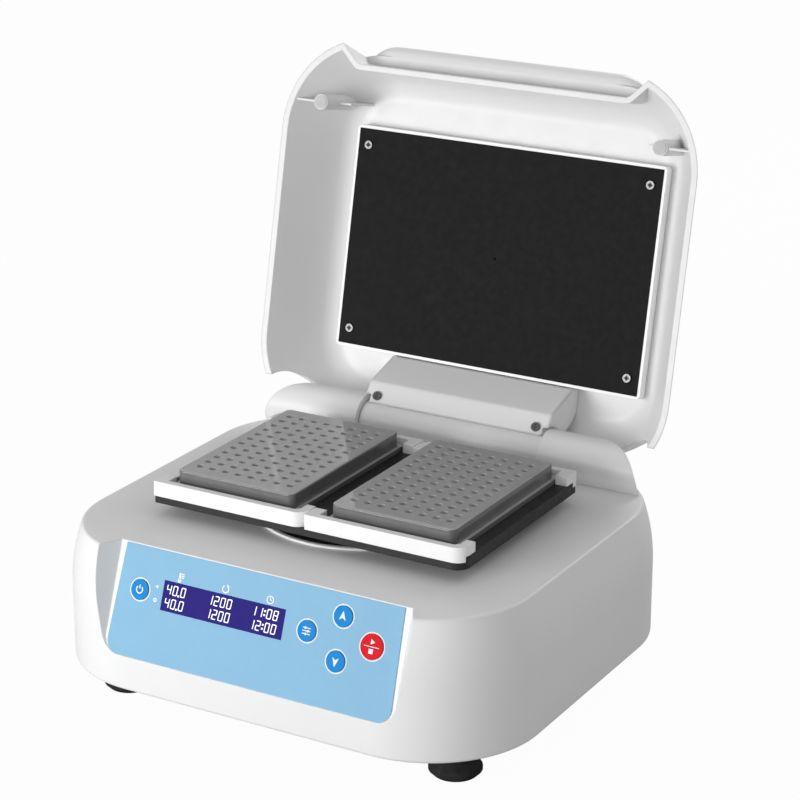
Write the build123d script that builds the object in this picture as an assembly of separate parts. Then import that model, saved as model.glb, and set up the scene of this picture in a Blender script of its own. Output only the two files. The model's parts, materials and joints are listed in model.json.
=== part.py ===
from build123d import *
import math
import os

# Two-plate dry block incubator shaker with a heated lid, drawn with the lid open on its stop.
# Millimetres. X runs to the right, Y to the back and Z up. While drawing, x = y = 0 is the
# shaking axis, midway between the two blocks, and z = 0 is the table. The finished part is
# moved along Y so that its box is centred on the origin.

# ------------------------------------------------------------------ driving dimensions
TINY = 0.02                 # clearance of a pressed or glued fit
RUN = 0.05                  # radial running clearance of every shaft

# blocks: one well for each tube of a 96-tube plate
PITCH = 9.0
ROWS = 12
COLUMNS = 8
WELL_RADIUS = 2.3
WELL_DEPTH = 9.0
WELL_TIP_RADIUS = 0.6
WELL_SHOULDER = 0.35        # step between a well's mouth and its cone
WELL_TO_SIDE = 9.0          # outer wells to the block's left and right sides
WELL_TO_END = 11.8          # outer wells to its front and rear ends
BLOCK_WIDTH = (COLUMNS - 1) * PITCH + 2 * WELL_TO_SIDE
BLOCK_LENGTH = (ROWS - 1) * PITCH + 2 * WELL_TO_END
BLOCK_CORNER = 4.0
FLANGE_REACH = (2.25, 2.6)  # flange beyond the block's sides and ends
BLOCK_FLANGE = (BLOCK_WIDTH + 2 * FLANGE_REACH[0], BLOCK_LENGTH + 2 * FLANGE_REACH[1])
FLANGE_GAP = 21.1           # between the two blocks' flanges
BLOCK_SPACING = BLOCK_FLANGE[0] + FLANGE_GAP
BLOCK_X = (-BLOCK_SPACING / 2, BLOCK_SPACING / 2)
HEATER_MAT = (BLOCK_WIDTH - 5.0, BLOCK_LENGTH - 6.6)
MAT_THICK = 1.3

# shaking tray, in plan
TRAY_BORDER = (8.45, 6.1)   # tray beyond the flanges
TRAY_WIDTH = BLOCK_SPACING + BLOCK_FLANGE[0] + 2 * TRAY_BORDER[0]
TRAY_LENGTH = BLOCK_FLANGE[1] + 2 * TRAY_BORDER[1]
TRAY_THICK = 7.6
TRAY_CORNER = 8.0
RAIL_THICK = 4.5
RAIL_GAP = 0.4              # half the gap between two rails of a side
LUG = 7.8
LUG_REACH = 9.5

# base housing, in plan
HALF_WIDTH = TRAY_WIDTH / 2 + 47.5    # half the width at the widest level
FRONT = TRAY_LENGTH / 2 + 64.0        # front wall ahead of the shaking axis
BACK = TRAY_LENGTH / 2 + 65.4         # rear wall behind it
FRONT_CORNER = 69.0         # plan radius of the front corners
BACK_CORNER = 67.0          # plan radius of the rear corners
WALL = 3.0
EDGE_ROUND = 2.0

# levels of the base and of the tray over its deck
SHELL_BOTTOM = 22.2         # lower edge of the housing
BULGE_RADIUS = 108.0
DECK = 106.0                # flat top of the base
BULGE_LEVEL = DECK - 37.6   # the wall is upright up to here and leans in above
COLLAR_TOP = DECK + 1.5
TRAY_TOP = DECK + 15.3
RAIL_TOP = TRAY_TOP + 5.9
RAIL_BOTTOM = TRAY_TOP - 3.4
FLANGE_TOP = TRAY_TOP + 2.9
BLOCK_TOP = TRAY_TOP + 12.2

# orbital drive
ORBIT = 1.5                 # radius of the circular shake
DECK_HOLE = 52.0
COLLAR_RADIUS = 64.8
COLLAR_BAND = 3.0
HUB_RADIUS = 40.0
HUB_BOTTOM = DECK - 14.5
HUB_SCREW_CIRCLE = 32.0
SHAFT_RADIUS = 6.0
CRANK_CIRCLE = 30.0
CRANKS = 3
CRANK_SHAFT_RADIUS = 3.0
CRANK_BUSH_RADIUS = 5.0
CRANK_PIN_RADIUS = 2.5
PIN_RADIUS = 4.0
BEARING_RADIUS = 14.0
BEARING_WIDTH = 8.0
TRAY_BEARING_RADIUS = 11.0
TOWER = 14.0                # bearing tower over the mechanism plate
SPINDLE_TOP = HUB_BOTTOM - 8.0
MECHANISM = (HUB_BOTTOM - 36.0, HUB_BOTTOM - 30.0)    # bottom and top of the mechanism plate
MECHANISM_SIZE = (176.0, 120.0)
COLUMNS_XY = [(x, y) for x in (-78, 78) for y in (-50, 50)]


def circle_spots(radius, count, first):
    """Points evenly spaced on a circle round the shaking axis, the first at an angle."""
    angles = [math.radians(first + 360 * i / count) for i in range(count)]
    return [(radius * math.cos(a), radius * math.sin(a)) for a in angles]


CRANK_XY = circle_spots(CRANK_CIRCLE, CRANKS, 90)
HUB_SCREWS = circle_spots(HUB_SCREW_CIRCLE, 6, 0)

# hinge
HINGE_Y = BACK - 22.4
HINGE_Z = DECK + 9.8
HUMP_RADIUS = 16.2
HUMP_TAPER = 15.0
BARREL_HALF = HALF_WIDTH - 87.8
BARREL_RADIUS = 12.3
BARREL_GAP = 0.6
HINGE_SHAFT_RADIUS = 4.0
HINGE_SHAFT_END = BARREL_HALF + 19.8
ARM_OUTER = BARREL_HALF - 2.0
ARM_WIDTH = 12.2
OPEN_ANGLE = 102.3

# cover over the hinge arms: (y, z) of its folds from the hinge's axis, lid shut
COVER_TOP = (-39.0, 25.6)
COVER_CREASE = (-24.6, -0.85)
COVER_FOOT = (-11.9, -6.5)
COVER_LINE = [COVER_TOP, COVER_CREASE, COVER_FOOT]
COVER_HALF = BARREL_HALF + 1.0
COVER_SHEET = 2.5
COVER_SCREW_X = (8.3 - COVER_HALF, COVER_HALF - 8.3)
COVER_SCREW_UP = 4.6        # screws above the cover's foot

# lid
LID_HEIGHT = 47.5           # rim to roof
LID_WALL = 3.5
LID_SLOPE = 30.0            # lean of its sides from upright
LID_ROOF_ROUND = 20.0
LID_SEAT_GAP = 0.5          # rim above the deck when shut
LID_HUMP_CLEAR = 3.8        # radial room round the hinge humps
RIM = DECK + LID_SEAT_GAP
ROOF = RIM + LID_HEIGHT - LID_WALL    # underside of the lid's roof
HEATER = (TRAY_WIDTH + 6.8, TRAY_LENGTH + 0.8)
HEATER_CENTRE = 1.2         # its centre behind the shaking axis
HEATER_FACE = RIM + LID_HEIGHT - 11.8
HEATER_BORDER = 2.0
CARRIER_CLEAR = 0.3         # between the heater's carrier and the lid
PLATE_THICK = 2.0
PLINTH_INSET = (7.7, 10.4)  # plate's screws from its edges
PLINTH_SCREWS = [
    (x * (HEATER[0] / 2 - PLINTH_INSET[0]), HEATER_CENTRE + y * (HEATER[1] / 2 - PLINTH_INSET[1]))
    for x in (-1, 1) for y in (-1, 1)
]
ARM_SCREWS = [(x, HINGE_Y - 30.5) for x in COVER_SCREW_X]
SCOOP_HALF = HALF_WIDTH - 46.5        # finger scoop in the lid's front edge
SCOOP_FLOOR = FRONT - 23.3            # its floor ahead of the shaking axis
SCOOP_HEIGHT = 17.0
LIP_RADIUS = 7.0
LIP_HALF = HALF_WIDTH - 57.0
LIP_TAPER = 18.0
LIP_Y = 17.3 - FRONT
POST_X = TRAY_WIDTH / 2 + 14.1
POST_Y = -TRAY_LENGTH / 2 - 14.0
POST_RADIUS = 5.0
POST_RIB = 0.7              # half the thickness of the ribs beside a post
PAD_SUNK = 0.6

# control panel
PANEL_LEAN = 20.2           # lean of the panel from upright
PANEL_Y = 23.4 - FRONT      # where its floor meets the deck level
PANEL_HALF = HALF_WIDTH - 54.7
PANEL_HEIGHT = 66.0
PANEL_FLARE = 31.0
RECESS_DEPTH = 34.0
RECESS_RISE = 30.0          # the pocket runs out of the deck by this much
OVERLAY_THICK = 0.6
OVERLAY_TOP_HALF = PANEL_HALF - 4.3
OVERLAY_BOTTOM_HALF = PANEL_HALF - 1.5
OVERLAY_CORNER = 8.5
LCD_SIZE = (82.5, 17.6)
LCD_CENTRE = (-22.0, -26.1)
# key: (x along the panel, height along it from the deck level, radius)
KEYS = {
    "power": (-78.7, -26.1, 6.0),
    "set": (34.8, -26.1, 6.0),
    "up": (56.0, -13.4, 6.0),
    "down": (56.0, -38.8, 6.0),
    "start_stop": (76.9, -26.0, 7.2),
}
KEY_GAP = 0.25
KEY_TRAVEL = 0.6
KEY_PROUD = 0.8
KEY_STEP = 1.5              # a key's skirt is this much smaller than its cap
BOARD_BACK = 12.0           # display board behind the panel's inner face
BOARD_THICK = 1.6
BOARD_HALF = 89.0
BOARD_POSTS = [(x * (BOARD_HALF - 3.0), v) for x in (-1, 1) for v in (-9.5, -46)]

# feet, bottom and fasteners
FOOT_X = HALF_WIDTH - 40.0
FEET = [(x, y) for y in (46.0 - FRONT, BACK - 43.4) for x in (-FOOT_X, FOOT_X)]
FOOT_RADIUS = 15.5
FOOT_SEAT = 9.0             # depth of the hole that hides the foot's screw
PLATE_BOTTOM = SHELL_BOTTOM + 1.0
PLATE_SHEET = 2.0
FLOOR = PLATE_BOTTOM + PLATE_SHEET    # what stands inside stands here
BOTTOM_SLOTS = 11
SCREW_RADIUS = 1.5
FOOT_SCREW_RADIUS = 2.0
BOSS_RADIUS = 4.5
SHORT_BOSS = 16.0           # height of the bosses that stand close to the front and rear walls
BOSSES = [
    (side * (HALF_WIDTH - inset), y)
    for inset, y in ((14, 10), (82, 28 - FRONT), (52, BACK - 17.4)) for side in (-1, 1)
]

# rear panel
INLET_X = -52.0
INLET_Z = DECK - 52.5
INLET_HOLE = (27.6, 20.2)
INLET_CAVITY = (24.4, 16.8, 16.0)
INLET_SCREW = 20.0          # its screws from its middle
SWITCH_X = -8.0
SWITCH_HOLE = (21.8, 15.0)
ROCKER_TILT = 10.0
ROCKER_Y = BACK - 3.0
ROCKER_HALF = 8.4
VENTS = 9
VENT = (3.0, 30.0)
VENT_X = 24.0
VENT_PITCH = 7.0

# boards on the floor
BOARD_LIFT = 6.0
BOARD_TO_SIDE = 21.0        # boards from the widest level of the housing

RING_DEPTH = 36.0           # how far the housing's swept wall section reaches inwards
LID_RING = 46.0             # and the lid's
CORE_OVERLAP = 1.0

nodes = {}


# ------------------------------------------------------------------ helpers
def box(x0, x1, y0, y1, z0, z1):
    """Box between two corners."""
    return Pos(x0, y0, z0) * Box(x1 - x0, y1 - y0, z1 - z0, align=(Align.MIN,) * 3)


def rod(x, y, z0, z1, radius):
    """Upright cylinder."""
    return Pos(x, y, z0) * Cylinder(radius, z1 - z0, align=(Align.CENTER, Align.CENTER, Align.MIN))


def cross_rod(x0, x1, y, z, radius):
    """Cylinder along X."""
    return Pos((x0 + x1) / 2, y, z) * Rot(0, 90, 0) * Cylinder(radius, x1 - x0)


def prism_x(points, x0, x1):
    """Prism along X over a polygon of (y, z) points."""
    face = make_face(Polyline([(x0, y, z) for y, z in points], close=True))
    return extrude(face, amount=x1 - x0, dir=(1, 0, 0))


def outline(grow):
    """Plan outline of the base, moved outwards by grow, as a closed wire at z = 0."""
    w, f, b = HALF_WIDTH + grow, FRONT + grow, BACK + grow
    rf, rb = FRONT_CORNER + grow, BACK_CORNER + grow
    with BuildLine() as line:
        Line((w, -f + rf), (w, b - rb))
        RadiusArc((w, b - rb), (w - rb, b), -rb)
        Line((w - rb, b), (rb - w, b))
        RadiusArc((rb - w, b), (-w, b - rb), -rb)
        Line((-w, b - rb), (-w, -f + rf))
        RadiusArc((-w, -f + rf), (rf - w, -f), -rf)
        Line((rf - w, -f), (w - rf, -f))
        RadiusArc((w - rf, -f), (w, -f + rf), -rf)
    return line.wires()[0]


def slab(grow, z0, z1, taper=0.0):
    """Plate of the base's outline."""
    return extrude(Pos(0, 0, z0) * make_face(outline(grow)), amount=z1 - z0, taper=taper)


def deck_inset(level, inset=0.0):
    """How far the wall leans in at a level above the bulge."""
    radius = BULGE_RADIUS - inset
    return radius - math.sqrt(radius**2 - (level - BULGE_LEVEL) ** 2)


def swept(section, grow, z0, z1):
    """Section swept round an outline, with its middle filled."""
    ring = sweep(section, path=outline(grow))
    return ring + slab(grow - RING_DEPTH + CORE_OVERLAP, z0, z1)


def base_volume(inset, z0, z1):
    """The base's outside, moved inwards by inset, as a solid."""
    edge = HALF_WIDTH - inset
    top = edge - deck_inset(z1, inset)
    inner = edge - RING_DEPTH
    with BuildSketch(Plane.XZ) as sketch:
        with BuildLine():
            Polyline((inner, z1), (inner, z0), (edge, z0), (edge, BULGE_LEVEL))
            RadiusArc((edge, BULGE_LEVEL), (top, z1), -(BULGE_RADIUS - inset))
            Line((top, z1), (inner, z1))
        make_face()
        if inset == 0:
            corners = [v for v in sketch.vertices() if v.X > inner + 1 and abs(v.Z - BULGE_LEVEL) > 1]
            fillet(corners, EDGE_ROUND)
    return swept(sketch.sketch, -inset, z0, z1)


# ------------------------------------------------------------------ control panel frame
LEAN = math.radians(PANEL_LEAN)
PANEL = Plane(
    origin=(0, PANEL_Y, DECK),
    x_dir=(1, 0, 0),
    z_dir=(0, -math.cos(LEAN), math.sin(LEAN)),
)


def panel_box(x, v, width, height, z0, z1):
    """Box on the panel: x and v are its centre, z0 to z1 along the panel's normal."""
    return PANEL * Pos(x, v, (z0 + z1) / 2) * Box(width, height, z1 - z0)


def panel_rod(x, v, radius, z0, z1):
    """Cylinder square to the panel."""
    return PANEL * Pos(x, v, (z0 + z1) / 2) * Cylinder(radius, z1 - z0)


def recess(grow):
    """Flared pocket that the control panel lies in, moved outwards by grow."""
    half, low = PANEL_HALF + grow, -PANEL_HEIGHT - grow
    floor = Pos(0, (RECESS_RISE + low) / 2) * Rectangle(2 * half, RECESS_RISE - low)
    floor = fillet([v for v in floor.vertices() if v.Y < 0], OVERLAY_CORNER + 2 + grow)
    return PANEL * Pos(0, 0, -grow) * extrude(floor, amount=RECESS_DEPTH, taper=-PANEL_FLARE)


# ------------------------------------------------------------------ housing
def hinge_hump(inset):
    """Rounded humps at both ends of the hinge, cut to the base's corners."""
    corner = slab(-deck_inset(DECK) - inset, DECK - 9, DECK + 32, taper=HUMP_TAPER)
    round_bar = cross_rod(-HALF_WIDTH, HALF_WIDTH, HINGE_Y, HINGE_Z, HUMP_RADIUS - inset)
    start = BARREL_HALF + BARREL_GAP + (inset * 2 if inset else 0)
    middle = box(-start, start, HINGE_Y - 30, HINGE_Y + 30, DECK - 20, DECK + 60)
    return (round_bar & corner) - middle


def hinge_trough(radius, half, z0):
    """Room for the barrel, let into the deck."""
    return cross_rod(-half, half, HINGE_Y, HINGE_Z, radius) & box(
        -half, half, HINGE_Y - radius, HINGE_Y + radius, z0, HINGE_Z + radius
    )


def upper_housing():
    outer = base_volume(0, SHELL_BOTTOM, DECK)
    cavity = base_volume(WALL, SHELL_BOTTOM - 1, DECK - WALL) - recess(WALL)
    trough_wall = hinge_trough(BARREL_RADIUS + BARREL_GAP + WALL, BARREL_HALF + 5, DECK - 12) & box(
        -HALF_WIDTH, HALF_WIDTH, 0, BACK, 0, DECK - WALL
    )
    shell = (outer - cavity) - recess(0)
    shell += hinge_hump(0) - hinge_hump(WALL)
    shell -= hinge_hump(WALL)
    shell += trough_wall
    shell -= hinge_trough(BARREL_RADIUS + BARREL_GAP, BARREL_HALF + BARREL_GAP, 0)
    shell -= cross_rod(-HINGE_SHAFT_END, HINGE_SHAFT_END, HINGE_Y, HINGE_Z, HINGE_SHAFT_RADIUS + TINY)
    shell -= rod(0, 0, DECK - WALL - 1, DECK + 1, DECK_HOLE)
    for x, y in BOSSES:
        tower_top = DECK - WALL
        if abs(x) < HALF_WIDTH / 2 + BOSS_RADIUS or y > BACK / 2:
            tower_top = FLOOR + SHORT_BOSS
            near, far = sorted((y, math.copysign(BACK + 10, y)))
            web = box(x - 1.2, x + 1.2, near, far, FLOOR, tower_top)
            shell += web & base_volume(WALL / 2, SHELL_BOTTOM, DECK)
        shell += rod(x, y, FLOOR, tower_top, BOSS_RADIUS)
        shell -= rod(x, y, FLOOR - 1, FLOOR + 12, SCREW_RADIUS + TINY)
    for x, v, radius in KEYS.values():
        shell -= panel_rod(x, v, radius - KEY_STEP + KEY_GAP, -WALL - 1, 1)
    shell -= panel_box(*LCD_CENTRE, *LCD_SIZE, -WALL - 1, 1)
    for x, hole in ((INLET_X, INLET_HOLE), (SWITCH_X, SWITCH_HOLE)):
        shell -= box(x - hole[0] / 2, x + hole[0] / 2, BACK - 10, BACK + 5,
                     INLET_Z - hole[1] / 2, INLET_Z + hole[1] / 2)
    for x in (INLET_X - INLET_SCREW, INLET_X + INLET_SCREW):
        shell -= Pos(x, BACK, INLET_Z) * Rot(90, 0, 0) * Cylinder(1.6, 20)
    for i in range(VENTS):
        x = VENT_X + i * VENT_PITCH
        shell -= box(x - VENT[0] / 2, x + VENT[0] / 2, BACK - 10, BACK + 5,
                     INLET_Z - VENT[1] / 2, INLET_Z + VENT[1] / 2)
    return shell


def bottom_plate():
    inset = WALL + 0.4
    plate = slab(-inset, PLATE_BOTTOM, FLOOR)
    z0, z1 = PLATE_BOTTOM - 1, FLOOR + 1
    for x, y in BOSSES:
        plate -= rod(x, y, z0, z1, SCREW_RADIUS + TINY)
    for x, y in FEET:
        plate -= rod(x, y, z0, z1, FOOT_SCREW_RADIUS + TINY)
    for x, y in COLUMNS_XY:
        plate -= rod(x, y, z0, z1, SCREW_RADIUS + TINY)
    for i in range(BOTTOM_SLOTS):
        x = (i - (BOTTOM_SLOTS - 1) / 2) * 8
        plate -= box(x - 1.5, x + 1.5, 62, 92, z0, z1)
    return plate


# ------------------------------------------------------------------ feet and fasteners
def screw_up(x, y, z, radius, length, head_radius, head):
    """Screw driven upwards, its head's seat at z, with a cross slot in the head."""
    body = rod(x, y, z, z + length, radius) + rod(x, y, z - head, z, head_radius)
    slot = head_radius * 0.6
    body -= box(x - slot, x + slot, y - 0.4, y + 0.4, z - head, z - head * 0.4)
    body -= box(x - 0.4, x + 0.4, y - slot, y + slot, z - head, z - head * 0.4)
    return body


def rubber_foot(x, y):
    r = FOOT_RADIUS
    profile = Polyline((0, 0, 0), (r - 2.5, 0, 0), (r, 0, 2.5), (r, 0, 4.5), (r - 4.0, 0, 11.0),
                       (r - 5.0, 0, PLATE_BOTTOM), (0, 0, PLATE_BOTTOM), close=True)
    foot = Pos(x, y, 0) * revolve(make_face(profile), Axis.Z)
    foot -= rod(x, y, -1, FOOT_SEAT, 4.6)
    return foot - rod(x, y, 0, PLATE_BOTTOM + 1, FOOT_SCREW_RADIUS + TINY)


def foot_screw(x, y):
    return screw_up(x, y, FOOT_SEAT, FOOT_SCREW_RADIUS, FLOOR + 3 - FOOT_SEAT, 4.0, 2.6)


# ------------------------------------------------------------------ orbital drive
def ring(x, y, z0, z1, outer, inner):
    return rod(x, y, z0, z1, outer) - rod(x, y, z0 - 1, z1 + 1, inner)


def mechanism_plate():
    """Plate with a raised tower for the spindle's bearings and bushes for the guide cranks."""
    z0, z1 = MECHANISM
    half_x, half_y = MECHANISM_SIZE[0] / 2, MECHANISM_SIZE[1] / 2
    plate = fillet(box(-half_x, half_x, -half_y, half_y, z0, z1).edges().filter_by(Axis.Z), 10)
    tower = rod(0, 0, z1, z1 + TOWER, BEARING_RADIUS + 5)
    for x, y in CRANK_XY:
        tower += rod(x, y, z1, z1 + TOWER, CRANK_BUSH_RADIUS + 3)
    plate += tower
    plate -= rod(0, 0, z0 - 1, z1 + TOWER + 1, BEARING_RADIUS - 3)
    plate -= rod(0, 0, z0 - 1, z0 + BEARING_WIDTH, BEARING_RADIUS)
    plate -= rod(0, 0, z1 + TOWER - BEARING_WIDTH, z1 + TOWER + 1, BEARING_RADIUS)
    for x, y in CRANK_XY:
        plate -= rod(x, y, z0 - 1, z1 + TOWER + 1, CRANK_BUSH_RADIUS)
    for x, y in COLUMNS_XY:
        plate -= rod(x, y, z0 - 1, z1 + 1, SCREW_RADIUS + TINY)
    return plate


def spindle_bearings():
    z0, z1 = MECHANISM
    low = ring(0, 0, z0, z0 + BEARING_WIDTH, BEARING_RADIUS, SHAFT_RADIUS + RUN)
    high = ring(0, 0, z1 + TOWER - BEARING_WIDTH, z1 + TOWER, BEARING_RADIUS, SHAFT_RADIUS + RUN)
    return [low, high]


def motor_can():
    """Motor can hung under the mechanism plate, open inside for the rotor."""
    z1 = MECHANISM[0]
    z0 = FLOOR + 2
    can = rod(0, 0, z0, z1, 31) - rod(0, 0, z0 + 2, z1 - 3, 28.5)
    can -= rod(0, 0, z1 - 4, z1 + 1, BEARING_RADIUS)
    return can


def stator_core():
    """Wound core standing on the motor's floor inside the rotor's bell."""
    z0 = FLOOR + 4
    core = ring(0, 0, z0, z0 + 12, 19, SHAFT_RADIUS + 2)
    for i in range(9):
        slot = Pos(17, 0, z0 + 6) * Box(6, 2.5, 14)
        core -= Rot(0, 0, 40 * i) * slot
    return core


def motor_rotor():
    """Spindle with the motor's magnet bell on its lower end."""
    z0 = FLOOR + 5
    shaft = rod(0, 0, z0, SPINDLE_TOP, SHAFT_RADIUS)
    bell = ring(0, 0, z0, z0 + 20, 27, 20.5) + rod(0, 0, z0 + 17, z0 + 20, 27)
    return shaft + bell


def eccentric_hub():
    """Crank on the spindle's top end, with its pin off centre by the orbit."""
    z0 = MECHANISM[1] + 15
    hub = rod(0, 0, z0, SPINDLE_TOP + 2, 12) + rod(ORBIT, 0, SPINDLE_TOP + 2, HUB_BOTTOM + 9, PIN_RADIUS)
    return hub - rod(0, 0, z0 - 1, SPINDLE_TOP, SHAFT_RADIUS + TINY)


def counterweight():
    """Half disc opposite the pin, clamped round the hub."""
    z0 = MECHANISM[1] + 16
    disc = ring(0, 0, z0, z0 + 6, 21, 12 + TINY)
    return disc - box(-4, 30, -30, 30, z0 - 1, z0 + 7)


def guide_crank(x, y):
    """Idler that keeps the tray square: same throw as the spindle's pin."""
    z0, z1 = MECHANISM
    top = z1 + TOWER
    shaft = rod(x, y, z0 + 0.5, top + 0.5, CRANK_SHAFT_RADIUS) + rod(x, y, top + 0.5, top + 4.5, 6.0)
    return shaft + rod(x + ORBIT, y, top + 4.5, HUB_BOTTOM + 7, CRANK_PIN_RADIUS)


def lower_bushes():
    z0, z1 = MECHANISM
    return [ring(x, y, z0, z1 + TOWER, CRANK_BUSH_RADIUS, CRANK_SHAFT_RADIUS + RUN) for x, y in CRANK_XY]


def tray_hub():
    """Hub under the tray. At rest the tray stands one orbit to the right of its mean place."""
    hub = rod(0, 0, HUB_BOTTOM, TRAY_TOP - TRAY_THICK, HUB_RADIUS)
    hub -= rod(0, 0, HUB_BOTTOM - 1, HUB_BOTTOM + 10, TRAY_BEARING_RADIUS)
    hub -= ring(0, 0, HUB_BOTTOM + 10, TRAY_TOP, 25, 12)
    for x, y in CRANK_XY:
        hub -= rod(x, y, HUB_BOTTOM - 1, HUB_BOTTOM + 8, CRANK_BUSH_RADIUS + 0.5)
    for x, y in HUB_SCREWS:
        hub -= rod(x, y, TRAY_TOP - TRAY_THICK - 8, TRAY_TOP, SCREW_RADIUS + TINY)
    return Pos(ORBIT, 0, 0) * hub


def tray_bearing():
    top = HUB_BOTTOM + BEARING_WIDTH
    return Pos(ORBIT, 0, 0) * ring(0, 0, HUB_BOTTOM, top, TRAY_BEARING_RADIUS, PIN_RADIUS + RUN)


def upper_bushes():
    top = HUB_BOTTOM + BEARING_WIDTH
    bush = ring(ORBIT, 0, HUB_BOTTOM, top, CRANK_BUSH_RADIUS + 0.5, CRANK_PIN_RADIUS + RUN)
    return [Pos(x, y, 0) * bush for x, y in CRANK_XY]


# ------------------------------------------------------------------ shaking tray
def tray_plate():
    half_x, half_y = TRAY_WIDTH / 2, TRAY_LENGTH / 2
    bottom = TRAY_TOP - TRAY_THICK
    plate = box(-half_x, half_x, -half_y, half_y, bottom, TRAY_TOP)
    turned = [e for e in plate.edges().filter_by(Axis.Z) if e.center().X * e.center().Y < 0]
    plate = fillet(turned, TRAY_CORNER)
    corner = half_x * half_y * 0.9
    square = [e for e in plate.edges().filter_by(Axis.Z) if e.center().X * e.center().Y > corner]
    plate = fillet(square, 1.5)
    for side in (-1, 1):
        near, far = sorted((side * (half_y - RAIL_THICK), side * (half_y + 1)))
        plate -= box(-half_x - 1, half_x + 1, near, far, RAIL_BOTTOM, TRAY_TOP + 1)
    for x in BLOCK_X:
        plate -= Pos(x, 0, TRAY_TOP - 0.5) * Box(HEATER_MAT[0] + 1, HEATER_MAT[1] + 1, 3)
    for x, y in HUB_SCREWS:
        plate -= rod(x, y, bottom - 1, TRAY_TOP, SCREW_RADIUS + TINY)
        plate -= rod(x, y, bottom + 2.4, TRAY_TOP, 3.1)
    return plate


def rail():
    """Front right rail: a bar with a square left end, a rounded right end and a lug at each end."""
    x0, x1 = RAIL_GAP, TRAY_WIDTH / 2
    y0 = -TRAY_LENGTH / 2
    y1 = y0 + RAIL_THICK
    bar = box(x0, x1, y0, y1 - TINY, RAIL_BOTTOM + TINY, RAIL_TOP)
    lugs = box(x0, x0 + LUG, y0 + 1, y1 + LUG_REACH - 1.5, TRAY_TOP + TINY, RAIL_TOP)
    lug_x = x1 - LUG + 2
    shape = [(lug_x - 6, y0 + 1), (x1, y0 + 1), (x1, y1 + LUG_REACH), (lug_x, y1 + LUG_REACH),
             (lug_x, y1 + 2.5), (lug_x - 2.5, y1)]
    face = make_face(Polyline([(x, y, TRAY_TOP + TINY) for x, y in shape], close=True))
    lugs += extrude(face, amount=RAIL_TOP - TRAY_TOP - TINY, dir=(0, 0, 1))
    solid = bar + lugs
    cut = box(x1 - TRAY_CORNER, x1 + 1, y0 - 1, y0 + TRAY_CORNER, 0, RAIL_TOP + 1)
    cut -= rod(x1 - TRAY_CORNER, y0 + TRAY_CORNER, -1, RAIL_TOP + 2, TRAY_CORNER)
    return solid - cut


def rails():
    front_right = rail()
    front_left = Pos(-TRAY_WIDTH / 2 - RAIL_GAP, 0, 0) * front_right
    turn = Rot(0, 0, 180)
    return {
        "rail_front_right": front_right,
        "rail_front_left": front_left,
        "rail_rear_left": turn * front_right,
        "rail_rear_right": turn * front_left,
    }


def heat_block(x):
    z_foot = TRAY_TOP + TINY
    body = Pos(x, 0, (z_foot + BLOCK_TOP) / 2) * Box(BLOCK_WIDTH, BLOCK_LENGTH, BLOCK_TOP - z_foot)
    body = fillet(body.edges().filter_by(Axis.Z), BLOCK_CORNER)
    body = fillet(body.edges().group_by(Axis.Z)[-1], 1.2)
    flange = Pos(x, 0, (z_foot + FLANGE_TOP) / 2) * Box(*BLOCK_FLANGE, FLANGE_TOP - z_foot)
    flange = fillet(flange.edges().filter_by(Axis.Z), BLOCK_CORNER - 0.5)
    block = body + flange
    upright = (Align.CENTER, Align.CENTER, Align.MIN)
    cone = Cone(WELL_TIP_RADIUS, WELL_RADIUS - WELL_SHOULDER, WELL_DEPTH, align=upright)
    well = Pos(0, 0, BLOCK_TOP - WELL_DEPTH - 1) * cone + rod(0, 0, BLOCK_TOP - 2, BLOCK_TOP + 1, WELL_RADIUS)
    wells = [
        Pos(x + (i - (COLUMNS - 1) / 2) * PITCH, (j - (ROWS - 1) / 2) * PITCH, 0) * well
        for i in range(COLUMNS) for j in range(ROWS)
    ]
    return block - wells


def collar_ring():
    body = ring(0, 0, DECK + TINY, COLLAR_TOP, COLLAR_RADIUS, COLLAR_RADIUS - COLLAR_BAND)
    return fillet(body.edges().group_by(Axis.Z)[-1], 0.6)


def splash_disc():
    """Flat rubber seal between the collar and the hub, with room for the orbit."""
    outer, inner = COLLAR_RADIUS - COLLAR_BAND - TINY, HUB_RADIUS + ORBIT * 2 + 1.5
    return ring(0, 0, DECK + TINY, DECK + 0.8, outer, inner)


# ------------------------------------------------------------------ control panel pieces
def overlay():
    top = -0.8
    bottom = -PANEL_HEIGHT
    corners = [(-OVERLAY_TOP_HALF, top), (OVERLAY_TOP_HALF, top), (OVERLAY_BOTTOM_HALF, bottom),
               (-OVERLAY_BOTTOM_HALF, bottom)]
    sheet = make_face(Polyline([(x, y, TINY) for x, y in corners], close=True))
    sheet = fillet([v for v in sheet.vertices() if v.Y < -10], OVERLAY_CORNER)
    skin = PANEL * extrude(sheet, amount=OVERLAY_THICK - TINY, dir=(0, 0, 1))
    skin = skin & base_volume(-0.2, SHELL_BOTTOM, DECK)
    for x, v, radius in KEYS.values():
        skin -= panel_rod(x, v, radius + KEY_GAP, -1, 2)
    return skin - panel_box(*LCD_CENTRE, *LCD_SIZE, -1, 2)


def lcd_window():
    w, h = LCD_SIZE
    return panel_box(*LCD_CENTRE, w - 2 * TINY, h - 2 * TINY, -0.6, OVERLAY_THICK - 0.1)


def lcd_module():
    w, h = LCD_SIZE
    back = -WALL - 8.4
    frame = panel_box(*LCD_CENTRE, w + 13, h + 14, back, -WALL - TINY)
    return frame + panel_box(*LCD_CENTRE, w - 0.4, h - 0.4, -WALL - 1, -0.6 - TINY)


def display_board():
    z1 = -WALL - BOARD_BACK
    board = panel_box(0, -27.5, 2 * BOARD_HALF, 46, z1 - BOARD_THICK, z1)
    for x, v in BOARD_POSTS:
        board -= panel_rod(x, v, 1.3, z1 - 3, z1 + 1)
    return board


def board_posts():
    z1 = -WALL - BOARD_BACK
    return [panel_rod(x, v, 3, z1, -WALL) + panel_rod(x, v, 1.2, z1 - 4, z1) for x, v in BOARD_POSTS]


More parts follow.
